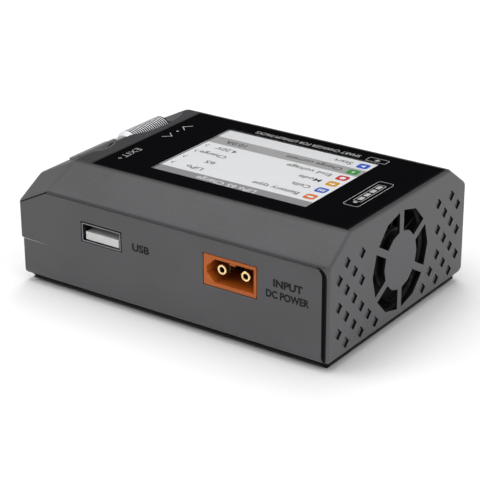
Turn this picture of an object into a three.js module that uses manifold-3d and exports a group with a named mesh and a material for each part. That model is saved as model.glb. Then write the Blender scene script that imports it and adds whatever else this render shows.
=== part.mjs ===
// Compact DC smart charger for lithium packs: a chamfered case with a glass-topped colour display,
// a fan on one end, a click roller and an exit key on the other, and sockets on both long walls.
// Millimetres, +Z up, origin at the middle of the footprint on the surface it stands on.
// The user sits at -Y. +Y is the supply side, -X the fan end, +X the control end.
import * as THREE from 'three';
import { mergeVertices } from 'three/addons/utils/BufferGeometryUtils.js';
import Module from 'manifold-3d';

const wasm = await Module();
wasm.setup();

// Driving dimensions
const GAP = 0.3;                 // clearance between neighbouring pieces
const WALL = 1.8;                // moulded wall
const HALF_LENGTH = 49.2;
const HALF_WIDTH = 34.17;
const HEIGHT = 35;
const SHELL_FLOOR = 2;           // lowest edge of the upper shell
const SIDE_BAND_Z = 28.4;        // where the long walls turn into the sloping side bands
const TOP_HALF_WIDTH = 24.9;     // half width of the flat top
const END_BAND_TOP_X = 36.3;     // where the top turns down into the control band
const END_BAND_Z = 28.5;         // where the control band meets the end wall
const CORNER = { lowZ: 23.4, alongX: 39.2 };   // corner facets: lowest point and rear end on the long wall
const STEP_Z = 13;               // crease below which the front and end walls step in
const STEP_IN = 0.35;

const GLASS = { x0: -47.8, x1: 31.2, halfY: 24.2, top: 34.9, thick: 1 };
const LCD = { x: -7.7, halfX: 28, halfY: 21, top: 33.6, thick: 2 };
const LEDGE = 1.8;               // shelf that carries the glass

const PLATE = { under: 0.8, rim: 1.7, top: 3 };              // base cover heights
const RIM = { x0: -48, x1: 44.8, halfY: 31.8 };              // lower edge of the base cover
const FOOT = { x: 36, y: 26, r: 4, top: 1.1, sink: 1.4 };
const BOSS = { x: 44.2, y: 29.2, r: 3.4, top: 20 };
const SCREW = { shank: 1, head: 2.2, headTop: 1.8, tip: 11 };

const BOARD = { x0: -34.5, x1: 40.3, halfY: 31.5, under: 12.9, thick: 1.6 };
const BOARD_TOP = BOARD.under + BOARD.thick;
const ON_BOARD = BOARD_TOP + GAP;

const FAN = { z: 18.25, half: 14.9, x0: -47.1, deep: 10, bore: 14, hub: 8, tip: 13.4, blades: 7 };
const GRILLE = { hub: 8, hubFlank: 7.9, outer: 13.8, outerFlank: 13.5, spoke: 2, openings: 6, plate: 0.7 };

const POWER = { x: -20.17, z: 19.25, w: 16.1, h: 8.5, cavityW: 14.2, cavityH: 6.4, chamfer: 2.4 };
const POWER_PIN = { pitch: 7.2, r: 1.75, bore: 0.85, recess: 1.8, length: 14 };
const POWER_DEPTH = 14;
const USB = { x: 20.84, z: 19.69, w: 13.5, h: 5.8, wallX: 0.6, wallZ: 0.35, deep: 14 };
const BALANCE = { x: 5, z: 19, pitch: 2.5, count: 7, w: 19.9, h: 5.8, deep: 9 };
const SIGNAL = { x: 28, z: 19, pitch: 2.54, count: 3, w: 8.2, h: 4.4, deep: 9 };

const ROLLER = { s: 4.6, y: -8.3, h: -2.5, r: 4, length: 17.6, axle: 0.9 };
const PRESS = { roller: 0.5, key: 0.6 };
const KEY = { s: 4.4, y: 13.05, w: 4.4, length: 15.7, proud: 0.85, dishRadius: 8, dish: 0.2 };
const CONTROL_BOARD = { h: -11.8, thick: 1.3 };

// Frame of the control band: s runs down the slope, y stays Y, h is height above its surface
const BAND_TILT = Math.atan2(HEIGHT - END_BAND_Z, HALF_LENGTH - END_BAND_TOP_X);
const bandFrame = new THREE.Matrix4()
  .makeRotationY(BAND_TILT)
  .setPosition(END_BAND_TOP_X, 0, HEIGHT);

// Solids and shapes
function solid(geometry) {
  const bare = geometry.clone();
  bare.deleteAttribute('normal');
  bare.deleteAttribute('uv');
  const merged = mergeVertices(bare, 1e-4);
  return new wasm.Manifold(new wasm.Mesh({
    numProp: 3,
    vertProperties: new Float32Array(merged.attributes.position.array),
    triVerts: new Uint32Array(merged.index.array),
  }));
}

function toGeometry(body) {
  const mesh = body.getMesh();
  const geometry = new THREE.BufferGeometry();
  geometry.setAttribute('position', new THREE.BufferAttribute(mesh.vertProperties, 3));
  geometry.setIndex(new THREE.BufferAttribute(mesh.triVerts, 1));
  geometry.computeVertexNormals();
  return geometry;
}

function box(x0, x1, y0, y1, z0, z1) {
  const geometry = new THREE.BoxGeometry(x1 - x0, y1 - y0, z1 - z0);
  geometry.translate((x0 + x1) / 2, (y0 + y1) / 2, (z0 + z1) / 2);
  return solid(geometry);
}

function block(x, y, w, d, z0, z1) {
  return box(x - w / 2, x + w / 2, y - d / 2, y + d / 2, z0, z1);
}

const AXIS_TURN = {
  x: new THREE.Matrix4().makeRotationZ(-Math.PI / 2),
  y: new THREE.Matrix4(),
  z: new THREE.Matrix4().makeRotationX(Math.PI / 2),
};

// A round bar from a to b along one axis; u and v are its centre on the other two axes, in X, Y, Z order
function bar(axis, a, b, u, v, r, sides = 24) {
  const geometry = new THREE.CylinderGeometry(r, r, b - a, sides);
  geometry.applyMatrix4(AXIS_TURN[axis]);
  const mid = (a + b) / 2;
  const place = { x: [mid, u, v], y: [u, mid, v], z: [u, v, mid] }[axis];
  geometry.translate(...place);
  return solid(geometry);
}

function extrude(points, depth) {
  const shape = new THREE.Shape(points.map(([u, v]) => new THREE.Vector2(u, v)));
  return new THREE.ExtrudeGeometry(shape, { depth, bevelEnabled: false, steps: 1 });
}

const X = new THREE.Vector3(1, 0, 0);
const Y = new THREE.Vector3(0, 1, 0);
const Z = new THREE.Vector3(0, 0, 1);

// Outline in (y, z), drawn along X
function prismX(points, x0, x1) {
  const geometry = extrude(points, x1 - x0);
  geometry.applyMatrix4(new THREE.Matrix4().makeBasis(Y, Z, X));
  return solid(geometry.translate(x0, 0, 0));
}

// Outline in (x, z), drawn along Y
function prismY(points, y0, y1) {
  const geometry = extrude(points, y1 - y0);
  geometry.applyMatrix4(new THREE.Matrix4().makeBasis(X, Z, Y.clone().negate()));
  return solid(geometry.translate(0, y1, 0));
}

function ellipsoid(s, y, h, radii, sides = 28) {
  const geometry = new THREE.SphereGeometry(1, sides, sides / 2);
  geometry.scale(...radii);
  return solid(geometry.translate(s, y, h));
}

function moved(body, matrix) {
  return solid(toGeometry(body).applyMatrix4(matrix));
}

// Everything beyond a plane, as one big block
function beyond(point, normal) {
  const reach = 300;
  const geometry = new THREE.BoxGeometry(reach, reach, reach);
  geometry.translate(0, 0, reach / 2);
  const turn = new THREE.Quaternion().setFromUnitVectors(Z, normal);
  geometry.applyMatrix4(new THREE.Matrix4().compose(point, turn, new THREE.Vector3(1, 1, 1)));
  return solid(geometry);
}

// The faceted block of the case, with every sloping face moved in by inset
function caseBlock(inset, z0, z1) {
  const halfX = HALF_LENGTH - inset;
  const halfY = HALF_WIDTH - inset;
  let body = box(-halfX, halfX, -halfY, halfY, z0, z1);
  const slopes = [];
  const endNormal = new THREE.Vector3(HEIGHT - END_BAND_Z, 0, HALF_LENGTH - END_BAND_TOP_X);
  slopes.push([new THREE.Vector3(HALF_LENGTH, 0, END_BAND_Z), endNormal]);
  for (const side of [-1, 1]) {
    const bandNormal = new THREE.Vector3(0, side * (HEIGHT - SIDE_BAND_Z), HALF_WIDTH - TOP_HALF_WIDTH);
    slopes.push([new THREE.Vector3(0, side * HALF_WIDTH, SIDE_BAND_Z), bandNormal]);
    const low = new THREE.Vector3(HALF_LENGTH, side * HALF_WIDTH, CORNER.lowZ);
    const back = new THREE.Vector3(CORNER.alongX, side * HALF_WIDTH, SIDE_BAND_Z);
    const front = new THREE.Vector3(END_BAND_TOP_X, side * TOP_HALF_WIDTH, HEIGHT);
    const cornerNormal = back.sub(low).cross(front.sub(low)).multiplyScalar(side);
    slopes.push([low, cornerNormal]);
  }
  for (const [point, normal] of slopes) {
    normal.normalize();
    body = body.subtract(beyond(point.clone().addScaledVector(normal, -inset), normal));
  }
  return body;
}

// Upper shell
function scoop(s, y, h, radii, grow = 0) {
  return moved(ellipsoid(s, y, h, radii.map((r) => r + grow)), bandFrame);
}

const ROLLER_SCOOP = [1.5, -10.5, 1, [5.6, 13, 3.5]];
const KEY_SCOOP = [1, 12.8, 0.8, [3.2, 5, 1.87]];

function grilleOpening(index) {
  const middle = (index + 0.5) * Math.PI / 3;
  const flank = (r) => Math.PI / 6 - Math.asin(GRILLE.spoke / 2 / r);
  const at = (r, a) => [r * Math.sin(middle + a), FAN.z + r * Math.cos(middle + a)];
  const inner = flank(GRILLE.hubFlank);
  const outer = flank(GRILLE.outerFlank);
  const points = [
    at(GRILLE.hubFlank, inner), at(GRILLE.hub, 0), at(GRILLE.hubFlank, -inner),
    at(GRILLE.outerFlank, -outer), at(GRILLE.outer, 0), at(GRILLE.outerFlank, outer),
  ];
  return prismX(points, -HALF_LENGTH - 1, FAN.x0);
}

// Rows of blind diamond dimples on both sides of the grille: height, then distances from the middle
const DIMPLE = { half: 1.6, deep: 0.6 };
const DIMPLE_ROWS = [
  [27.2, [19, 26]], [23.6, [22.5, 29.5]], [19.95, [19, 26]], [16.4, [22.5, 29.5]],
  [12.85, [19, 26]], [9.3, [15.5, 22.5, 29.5]], [5.7, [12, 19, 26]],
];

function dimples() {
  const cuts = [];
  for (const [z, distances] of DIMPLE_ROWS) {
    for (const y of distances.flatMap((d) => [-d, d])) {
      const q = DIMPLE.half;
      const diamond = [[y - q, z], [y, z - q], [y + q, z], [y, z + q]];
      cuts.push(prismX(diamond, -HALF_LENGTH - 1, -HALF_LENGTH + DIMPLE.deep));
    }
  }
  return cuts;
}

function portCut(port, side) {
  const halfW = port.w / 2 + GAP;
  const halfH = port.h / 2 + GAP;
  const y = [side * (HALF_WIDTH - WALL - 1), side * (HALF_WIDTH + 1)].sort((a, b) => a - b);
  return box(port.x - halfW, port.x + halfW, y[0], y[1], port.z - halfH, port.z + halfH);
}

function stepCuts() {
  const reach = 60;
  const fade = new THREE.Vector3(STEP_IN, HALF_LENGTH - 39, 0).normalize();
  const wrap = beyond(new THREE.Vector3(39, HALF_WIDTH, 0), fade);
  return [
    box(-reach, reach, -reach, -HALF_WIDTH + STEP_IN, 0, STEP_Z),
    box(HALF_LENGTH - STEP_IN, reach, -reach, reach, 0, STEP_Z),
    wrap.intersect(box(39, reach, 0, reach, 0, STEP_Z)),
  ];
}

function upperShell() {
  const outer = caseBlock(0, SHELL_FLOOR, HEIGHT);
  const recessFloor = GLASS.top - GLASS.thick - GAP;
  let shell = outer.subtract(caseBlock(WALL, SHELL_FLOOR - 5, recessFloor - LEDGE));
  const bay = box(0.6, 12.6, -21.5, 23, -14, -WALL);
  shell = shell.subtract(moved(bay, bandFrame));
  shell = shell.add(scoop(...ROLLER_SCOOP, 1.2).intersect(outer));
  for (const x of [-BOSS.x, BOSS.x]) {
    for (const y of [-BOSS.y, BOSS.y]) {
      shell = shell.add(bar('z', PLATE.top + GAP, BOSS.top, x, y, BOSS.r));
      shell = shell.subtract(bar('z', PLATE.top - 1, SCREW.tip + 1, x, y, SCREW.shank + GAP, 12));
    }
  }
  const keySlot = block(KEY.s, KEY.y, KEY.w + 2 * GAP, KEY.length + 2 * GAP, -6, 3);
  const rollerSlot = block(ROLLER.s, ROLLER.y, 2 * (ROLLER.r + GAP), ROLLER.length + 4.2, -9, 3);
  const cuts = [
    box(GLASS.x0 - GAP, GLASS.x1 + GAP, -GLASS.halfY - GAP, GLASS.halfY + GAP, recessFloor, 40),
    block(LCD.x, 0, 2 * LCD.halfX + 1, 2 * LCD.halfY + 1, 28, 36),
    box(FAN.x0 - GAP, FAN.x0 + FAN.deep + GAP, -FAN.half - GAP, FAN.half + GAP, 30, recessFloor + 0.1),
    scoop(...ROLLER_SCOOP),
    scoop(...KEY_SCOOP),
    moved(keySlot, bandFrame),
    moved(rollerSlot, bandFrame),
    portCut(POWER, 1),
    portCut({ ...USB, w: USB.w - 2 * GAP, h: USB.h - 2 * GAP }, 1),
    portCut(POWER, -1),
    portCut(BALANCE, -1),
    portCut(SIGNAL, -1),
    bar('x', GRILLE.plate - HALF_LENGTH, FAN.x0, 0, FAN.z, FAN.bore, 48),
    ...stepCuts(),
    ...dimples(),
  ];
  for (let i = 0; i < GRILLE.openings; i += 1) cuts.push(grilleOpening(i));
  return cuts.reduce((body, cut) => body.subtract(cut), shell);
}

// Base cover with intake slots, foot pockets, screw holes and board posts
const POSTS = [[-31, -27], [-31, 27], [37.5, -24.5], [37.5, 24.5]];

function baseCover() {
  let cover = box(RIM.x0, RIM.x1, -RIM.halfY, RIM.halfY, PLATE.under, PLATE.rim);
  const halfX = HALF_LENGTH - WALL - GAP;
  const halfY = HALF_WIDTH - WALL - GAP;
  cover = cover.add(box(-halfX, halfX, -halfY, halfY, PLATE.rim - 0.2, PLATE.top));
  for (const [x, y] of POSTS) cover = cover.add(bar('z', PLATE.top - 0.5, BOARD.under - GAP, x, y, 2.4));
  for (const x of [-1, 1]) {
    for (const y of [-1, 1]) {
      cover = cover.subtract(bar('z', 0, FOOT.sink, x * FOOT.x, y * FOOT.y, FOOT.r + GAP));
      cover = cover.subtract(bar('z', 0, SCREW.headTop + GAP, x * BOSS.x, y * BOSS.y, SCREW.head + GAP));
      cover = cover.subtract(bar('z', 0, 4, x * BOSS.x, y * BOSS.y, SCREW.shank + GAP, 12));
    }
  }
  for (let i = 0; i < 7; i += 1) cover = cover.subtract(block(6 + 4.5 * i, 0, 1.6, 24, 0, 4));
  return cover;
}

function caseScrew(x, y) {
  const head = bar('z', SCREW.headTop - 0.8, SCREW.headTop, x, y, SCREW.head, 16);
  const socket = bar('z', 0, SCREW.headTop - 0.4, x, y, 0.9, 6);
  return head.add(bar('z', SCREW.headTop - 0.1, SCREW.tip, x, y, SCREW.shank, 12)).subtract(socket);
}

// Cooling fan
function fanFrame() {
  const { x0, z, half, deep, bore } = FAN;
  const x1 = x0 + deep;
  let frame = box(x0, x1, -half, half, z - half, z + half);
  frame = frame.subtract(bar('x', x0 - 1, x1 + 1, 0, z, bore, 40));
  const motor = bar('x', x1 - 1.2, x1, 0, z, 8.4, 24);
  let struts = box(x1 - 1.2, x1, -half + 0.2, half - 0.2, z - 0.9, z + 0.9);
  struts = struts.add(box(x1 - 1.2, x1, -0.9, 0.9, z - half + 0.2, z + half - 0.2));
  frame = frame.add(motor).add(struts);
  for (const y of [-1, 1]) {
    for (const up of [-1, 1]) {
      frame = frame.subtract(bar('x', x0 - 1, x1 + 1, y * 12.2, z + up * 12.2, 1.5, 12));
    }
  }
  return frame;
}

function fanRotor() {
  const { x0, z, deep, hub, tip, blades } = FAN;
  const from = x0 + 0.5;
  const to = x0 + deep - 1.6;
  const ring = bar('x', from, to, 0, z, tip, 40);
  let rotor = bar('x', from, to, 0, z, hub, 28);
  for (let i = 0; i < blades; i += 1) {
    const blade = new THREE.BoxGeometry(9.2, 1, 7.5);
    blade.rotateZ(THREE.MathUtils.degToRad(38));
    blade.translate(0, 0, hub + 3);
    blade.rotateX((i / blades) * 2 * Math.PI);
    blade.translate((from + to) / 2, 0, z);
    rotor = rotor.add(solid(blade).intersect(ring));
  }
  return rotor;
}

// Sockets on the long walls; side is +1 on the supply wall and -1 on the output wall
function cavityOutline(port, side) {
  const w = port.cavityW / 2;
  const h = port.cavityH / 2;
  const c = port.chamfer;
  const points = [[-w, -h], [w - c, -h], [w, -h + c], [w, h - c], [w - c, h], [-w, h]];
  return points.map(([u, v]) => [port.x + side * u, port.z + v]);
}

function alongWall(side, near, far) {
  const ends = [side * (HALF_WIDTH - near), side * (HALF_WIDTH - far)];
  return ends.sort((a, b) => a - b);
}

function powerSocket(side) {
  const [y0, y1] = alongWall(side, 0.1, POWER_DEPTH);
  const [c0, c1] = alongWall(side, -1, 10);
  const halfW = POWER.w / 2;
  const halfH = POWER.h / 2;
  let body = box(POWER.x - halfW, POWER.x + halfW, y0, y1, POWER.z - halfH, POWER.z + halfH);
  body = body.subtract(prismY(cavityOutline(POWER, side), c0, c1));
  const tab = block(POWER.x - 0.5, (y0 + y1) / 2 + side * 2, 1.8, 9, POWER.z + 2.5, POWER.z + halfH - 0.2);
  body = body.add(tab);
  for (const pole of [-0.5, 0.5]) {
    const x = POWER.x + pole * POWER_PIN.pitch;
    body = body.subtract(bar('y', y0 - 1, y1 + 1, x, POWER.z, POWER_PIN.r + GAP));
  }
  return body;
}

function powerPin(side, pole) {
  const x = POWER.x + pole * POWER_PIN.pitch;
  const [y0, y1] = alongWall(side, POWER_PIN.recess, POWER_PIN.recess + POWER_PIN.length);
  const [b0, b1] = alongWall(side, POWER_PIN.recess - 1, POWER_PIN.recess + 8);
  const pin = bar('y', y0, y1, x, POWER.z, POWER_PIN.r);
  return pin.subtract(bar('y', b0, b1, x, POWER.z, POWER_PIN.bore, 16));
}

function usbShell() {
  const halfW = USB.w / 2 - GAP;
  const halfH = USB.h / 2 - GAP;
  const { x, z, wallX, wallZ } = USB;
  const [y0, y1] = alongWall(1, 0.1, USB.deep);
  let body = box(x - halfW, x + halfW, y0, y1, z - halfH, z + halfH);
  body = body.subtract(
    box(x - halfW + wallX, x + halfW - wallX, y0 - 1, y1 + 1, z - halfH + wallZ, z + halfH - wallZ));
  for (const leg of [-1, 1]) {
    const legX = x + leg * (halfW - 0.3);
    for (const y of [y0 + 2.5, y0 + 8.5]) body = body.add(block(legX, y, 0.5, 2, ON_BOARD, z - halfH + 0.2));
  }
  return body;
}

function usbTongue() {
  const halfW = USB.w / 2 - GAP - USB.wallX - GAP;
  const low = USB.z - USB.h / 2 + GAP + USB.wallZ + GAP;
  const high = USB.z + USB.h / 2 - GAP - USB.wallZ - GAP;
  const [y0, y1] = alongWall(1, 1, USB.deep - 0.5);
  const blade = box(USB.x - halfW + 0.2, USB.x + halfW - 0.2, y0, y1, low, low + 2);
  return blade.add(box(USB.x - halfW, USB.x + halfW, y0, y0 + 3, low, high));
}

function pinHeader(port) {
  const [y0, y1] = alongWall(-1, 0.1, port.deep);
  const halfW = port.w / 2;
  const halfH = port.h / 2;
  const wall = 0.8;
  let body = box(port.x - halfW, port.x + halfW, y0, y1, port.z - halfH, port.z + halfH);
  body = body.subtract(box(port.x - halfW + wall, port.x + halfW - wall, y0 - 1, y1 - 2.2,
    port.z - halfH + wall, port.z + halfH - wall));
  for (let i = 0; i < port.count; i += 1) {
    const x = port.x + (i - (port.count - 1) / 2) * port.pitch;
    const half = 0.32 + GAP;
    body = body.subtract(box(x - half, x + half, y0 - 1, y1 + 1, port.z - half, port.z + half));
  }
  return body;
}

function headerPin(port, index) {
  const x = port.x + (index - (port.count - 1) / 2) * port.pitch;
  const half = 0.32;
  const [y0, y1] = alongWall(-1, 1.6, port.deep + 2);
  const foot = box(x - half, x + half, y1 - 2 * half, y1, ON_BOARD, port.z);
  return box(x - half, x + half, y0, y1, port.z - half, port.z + half).add(foot);
}

// Display
function lcdTray() {
  const low = LCD.top - LCD.thick - GAP - 0.8;
  const tray = block(LCD.x, 0, 2 * LCD.halfX, 2 * LCD.halfY, low, low + 0.8);
  return tray.subtract(block(LCD.x, 0, 30, 20, low - 1, low + 2));
}

function lcdRibbon() {
  const edge = LCD.x + LCD.halfX;
  const t = 0.3;
  const top = LCD.top - LCD.thick - GAP;
  const outer = [
    [edge + 0.4, top], [edge + 3.2, top], [edge + 4.6, top - 2], [edge + 4.6, 17], [edge + 2.5, 15.2],
  ];
  const inner = [[edge + 2.2, 15.4], [edge + 4.3, 17.1], [edge + 4.3, top - 1.9], [edge + 3.05, top - t],
    [edge + 0.4, top - t]];
  return prismY([...outer, ...inner].reverse(), -10, 6);
}

// Main board and what stands on it
function mainBoard() {
  let board = box(BOARD.x0, BOARD.x1, -BOARD.halfY, BOARD.halfY, BOARD.under, BOARD_TOP);
  board = board.subtract(block(-24, 0, 3, 24, 0, 30));
  return board;
}

function heatSink() {
  const top = BOARD.under - GAP;
  const fins = 10;
  const pitch = 4;
  const half = (fins - 1) * pitch / 2;
  let sink = box(-20, 34, -half - 0.6, half + 0.6, top - 1.8, top);
  for (let i = 0; i < fins; i += 1) {
    const y = -half + i * pitch;
    sink = sink.add(box(-20, 34, y - 0.6, y + 0.6, PLATE.top + 1, top - 1));
  }
  return sink;
}

function inductor(x, y) {
  const core = block(x, y, 13, 13, ON_BOARD, ON_BOARD + 7);
  const turn = new THREE.Matrix4().makeTranslation(x, y, 0)
    .multiply(new THREE.Matrix4().makeRotationZ(Math.PI / 4))
    .multiply(new THREE.Matrix4().makeTranslation(-x, -y, 0));
  return core.intersect(moved(block(x, y, 15.6, 15.6, 0, 40), turn));
}

function capacitor(x, y) {
  const can = [[0, 0], [4, 0], [4, 1.2], [3.7, 1.5], [4, 1.8], [4, 11.6], [3.6, 12], [0, 12]];
  const lathe = new THREE.LatheGeometry(can.map(([r, z]) => new THREE.Vector2(r, z)), 24);
  lathe.rotateX(Math.PI / 2);
  return solid(lathe.translate(x, y, ON_BOARD));
}

function buzzer(x, y) {
  return bar('z', ON_BOARD, ON_BOARD + 4, x, y, 4.5).subtract(bar('z', ON_BOARD + 3, 40, x, y, 0.8, 12));
}

// Controls, all in the frame of the control band
function roller() {
  const half = ROLLER.length / 2;
  const bore = ROLLER.axle + GAP;
  const rim = 0.9;
  const profile = [
    [bore, -half], [ROLLER.r - rim, -half], [ROLLER.r, -half + rim],
    [ROLLER.r, half - rim], [ROLLER.r - rim, half], [bore, half], [bore, -half],
  ];
  return new THREE.LatheGeometry(profile.map(([r, y]) => new THREE.Vector2(r, y)), 36);
}

function rollerAxle() {
  const reach = ROLLER.length / 2 + 1.9;
  return bar('y', -reach, reach, 0, 0, ROLLER.axle, 16);
}

function rollerCarriage() {
  const inner = ROLLER.length / 2 + GAP;
  const outer = inner + 1.3;
  const low = -6.45;
  let yoke = box(-3.4, 3.4, -outer, outer, low, low + 1.2);
  for (const side of [-1, 1]) {
    const y = [side * inner, side * outer].sort((a, b) => a - b);
    yoke = yoke.add(box(-2, 2, y[0], y[1], low + 1, 1.3));
  }
  return yoke.subtract(bar('y', -outer - 1, outer + 1, 0, 0, ROLLER.axle + GAP, 16));
}

function tactSwitch(plungerTop) {
  const foot = CONTROL_BOARD.h + GAP;
  return block(0, 0, 6, 6, foot, foot + 1.9).add(bar('z', foot + 1.7, plungerTop, 0, 0, 1.5, 16));
}

function exitKey() {
  let cap = block(0, 0, KEY.w, KEY.length, -2.4, KEY.proud);
  const dishHeight = KEY.proud - KEY.dish + KEY.dishRadius;
  const dish = bar('y', -KEY.length, KEY.length, 0, dishHeight, KEY.dishRadius, 90);
  cap = cap.subtract(dish);
  cap = cap.add(block(0, 0, KEY.w + 1.6, KEY.length + 1.6, -3.4, -2.1));
  return cap.add(bar('z', -8.8, -3, 0, 0, 1.5, 16));
}

function controlBoard() {
  return box(0.8, 9.2, -20, 22, CONTROL_BOARD.h - CONTROL_BOARD.thick, CONTROL_BOARD.h);
}

// Colours
function finish(color, roughness, metalness = 0) {
  return new THREE.MeshStandardMaterial({ color, roughness, metalness });
}

const CASE_GREY = finish(0x56565a, 0.55);
const BASE_BLACK = finish(0x161617, 0.6);
const GLASS_BLACK = finish(0x08080a, 0.08);
const LCD_PALE = finish(0xd8dadc, 0.3);
const SOCKET_ORANGE = finish(0xc35c1c, 0.45);
const GOLD = finish(0xe6c070, 0.25, 1);
const STEEL = finish(0xb9bcc0, 0.3, 1);
const ALUMINIUM = finish(0xc9cbce, 0.35, 1);
const BOARD_GREEN = finish(0x1d4a33, 0.5);
const BLACK_PLASTIC = finish(0x121213, 0.5);
const PALE_PLASTIC = finish(0xc9c8c2, 0.45);
const RUBBER = finish(0x1c1c1d, 0.9);
const FERRITE = finish(0x3a3a3c, 0.7);
const RIBBON = finish(0xb8862e, 0.4);

const charger = new THREE.Group();
const controls = new THREE.Group();
controls.position.set(END_BAND_TOP_X, 0, HEIGHT);
controls.rotation.y = BAND_TILT;
charger.add(controls);

function place(name, shape, material, group = charger, position = [0, 0, 0]) {
  const geometry = shape.isBufferGeometry ? shape : toGeometry(shape);
  const mesh = new THREE.Mesh(geometry, material);
  mesh.name = name;
  mesh.position.set(...position);
  group.add(mesh);
}

place('upper_shell', upperShell(), CASE_GREY);
place('base_cover', baseCover(), BASE_BLACK);
let corner = 0;
for (const x of [-1, 1]) {
  for (const y of [-1, 1]) {
    corner += 1;
    place(`case_screw_${corner}`, caseScrew(x * BOSS.x, y * BOSS.y), STEEL);
    place(`rubber_foot_${corner}`, bar('z', 0, FOOT.top, x * FOOT.x, y * FOOT.y, FOOT.r), RUBBER);
  }
}

place('display_glass', box(GLASS.x0, GLASS.x1, -GLASS.halfY, GLASS.halfY, GLASS.top - GLASS.thick, GLASS.top),
  GLASS_BLACK);
place('lcd_panel', block(LCD.x, 0, 2 * LCD.halfX, 2 * LCD.halfY, LCD.top - LCD.thick, LCD.top), LCD_PALE);
place('lcd_tray', lcdTray(), STEEL);
place('lcd_ribbon', lcdRibbon(), RIBBON);

place('main_board', mainBoard(), BOARD_GREEN);
place('heat_sink', heatSink(), ALUMINIUM);
place('inductor_1', inductor(-4, 8), FERRITE);
place('inductor_2', inductor(12, 8), FERRITE);
[[-29.5, -6], [-29.5, 6], [-17, -6], [-17, 6]].forEach(([x, y], index) => {
  place(`capacitor_${index + 1}`, capacitor(x, y), ALUMINIUM);
});
place('controller_chip', block(4, -9, 12, 12, ON_BOARD, ON_BOARD + 1.2), BLACK_PLASTIC);
place('buzzer', buzzer(31.5, 12), BLACK_PLASTIC);

place('fan_frame', fanFrame(), BLACK_PLASTIC);
place('fan_rotor', fanRotor(), BLACK_PLASTIC);

for (const [name, side] of [['input', 1], ['output', -1]]) {
  place(`${name}_socket`, powerSocket(side), SOCKET_ORANGE);
  place(`${name}_pin_1`, powerPin(side, -0.5), GOLD);
  place(`${name}_pin_2`, powerPin(side, 0.5), GOLD);
}
place('usb_shell', usbShell(), STEEL);
place('usb_tongue', usbTongue(), PALE_PLASTIC);
for (const [name, port] of [['balance', BALANCE], ['signal', SIGNAL]]) {
  place(`${name}_socket`, pinHeader(port), name === 'balance' ? PALE_PLASTIC : BLACK_PLASTIC);
  for (let i = 0; i < port.count; i += 1) place(`${name}_pin_${i + 1}`, headerPin(port, i), GOLD);
}

const rollerAt = [ROLLER.s, ROLLER.y, ROLLER.h];
const rollerSwitchTop = ROLLER.h - 6.45 - PRESS.roller - 0.05;
place('roller', roller(), ALUMINIUM, controls, rollerAt);
place('roller_axle', rollerAxle(), STEEL, controls, rollerAt);
place('roller_carriage', rollerCarriage(), BLACK_PLASTIC, controls, rollerAt);
place('roller_switch', tactSwitch(rollerSwitchTop), BLACK_PLASTIC, controls, [ROLLER.s, ROLLER.y, 0]);
place('exit_key', exitKey(), CASE_GREY, controls, [KEY.s, KEY.y, 0]);
place('exit_switch', tactSwitch(-8.8 - PRESS.key - 0.05), BLACK_PLASTIC, controls, [KEY.s, KEY.y, 0]);
place('roller_sensor', block(0, 0, 3, 3, CONTROL_BOARD.h + GAP, CONTROL_BOARD.h + GAP + 1.4), BLACK_PLASTIC,
  controls, [ROLLER.s, -17.5, 0]);
place('control_board', controlBoard(), BOARD_GREEN, controls);

export default charger;
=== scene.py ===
from math import atan2, cos, pi, radians, sin, tau

import bmesh
import bpy
from mathutils import Matrix, Vector


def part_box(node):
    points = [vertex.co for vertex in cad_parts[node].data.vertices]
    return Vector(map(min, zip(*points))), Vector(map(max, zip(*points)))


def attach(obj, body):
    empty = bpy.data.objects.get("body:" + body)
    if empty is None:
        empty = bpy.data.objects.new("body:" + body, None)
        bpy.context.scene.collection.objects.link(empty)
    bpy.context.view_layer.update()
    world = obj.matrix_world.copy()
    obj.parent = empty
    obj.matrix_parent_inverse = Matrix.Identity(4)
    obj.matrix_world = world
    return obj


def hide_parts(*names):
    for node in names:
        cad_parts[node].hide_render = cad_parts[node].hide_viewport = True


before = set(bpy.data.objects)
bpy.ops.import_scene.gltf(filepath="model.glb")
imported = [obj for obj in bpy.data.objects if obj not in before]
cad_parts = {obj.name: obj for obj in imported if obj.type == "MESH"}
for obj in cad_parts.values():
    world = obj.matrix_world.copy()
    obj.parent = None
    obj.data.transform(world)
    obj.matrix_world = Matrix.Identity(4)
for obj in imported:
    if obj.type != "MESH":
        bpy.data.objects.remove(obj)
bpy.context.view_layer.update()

# ---------------------------------------------------------------------------------------------
# Upper shell. One injection moulding in dark grey ABS with a fine spark-eroded texture. Its long
# walls are framed by sloping bands; the top is flat round the display and coloured darker as painted
# shade, and the +X end slopes down as the control band. Bosses inside take the case screws.
# ---------------------------------------------------------------------------------------------
MM = 0.001
SHELL_LOW, SHELL_HIGH = (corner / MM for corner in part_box("upper_shell"))
HALF_LENGTH, HALF_WIDTH, HEIGHT = SHELL_HIGH
SHELL_FLOOR = SHELL_LOW.z
WALL = 1.8
SIDE_BAND_Z = 28.4           # where the long walls turn into the side bands
TOP_HALF_WIDTH = 24.9
END_BAND_TOP_X = 36.3        # where the top turns down into the control band
END_BAND_Z = 28.5
CORNER_LOW_Z = 23.4
CORNER_BACK_X = 39.2
STEP_Z, STEP_IN = 13, 0.35   # crease below which the front and end walls step in
BAND_TILT = atan2(HEIGHT - END_BAND_Z, HALF_LENGTH - END_BAND_TOP_X)
# Frame of the control band: x runs down the slope, z is height above its surface
BAND = Matrix.Translation((END_BAND_TOP_X, 0, HEIGHT)) @ Matrix.Rotation(BAND_TILT, 4, "Y")


def srgb(*levels):
    """Linear colour of display levels from 0 to 255."""
    if len(levels) == 1:
        levels = levels * 3
    linear = [(v / 255 / 12.92) if v <= 10 else ((v / 255 + 0.055) / 1.055) ** 2.4 for v in levels]
    return (*linear, 1)


def settle(piece):
    """Applies the modifiers of a piece."""
    graph = bpy.context.evaluated_depsgraph_get()
    mesh = bpy.data.meshes.new_from_object(piece.evaluated_get(graph))
    piece.modifiers.clear()
    piece.data = mesh


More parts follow.
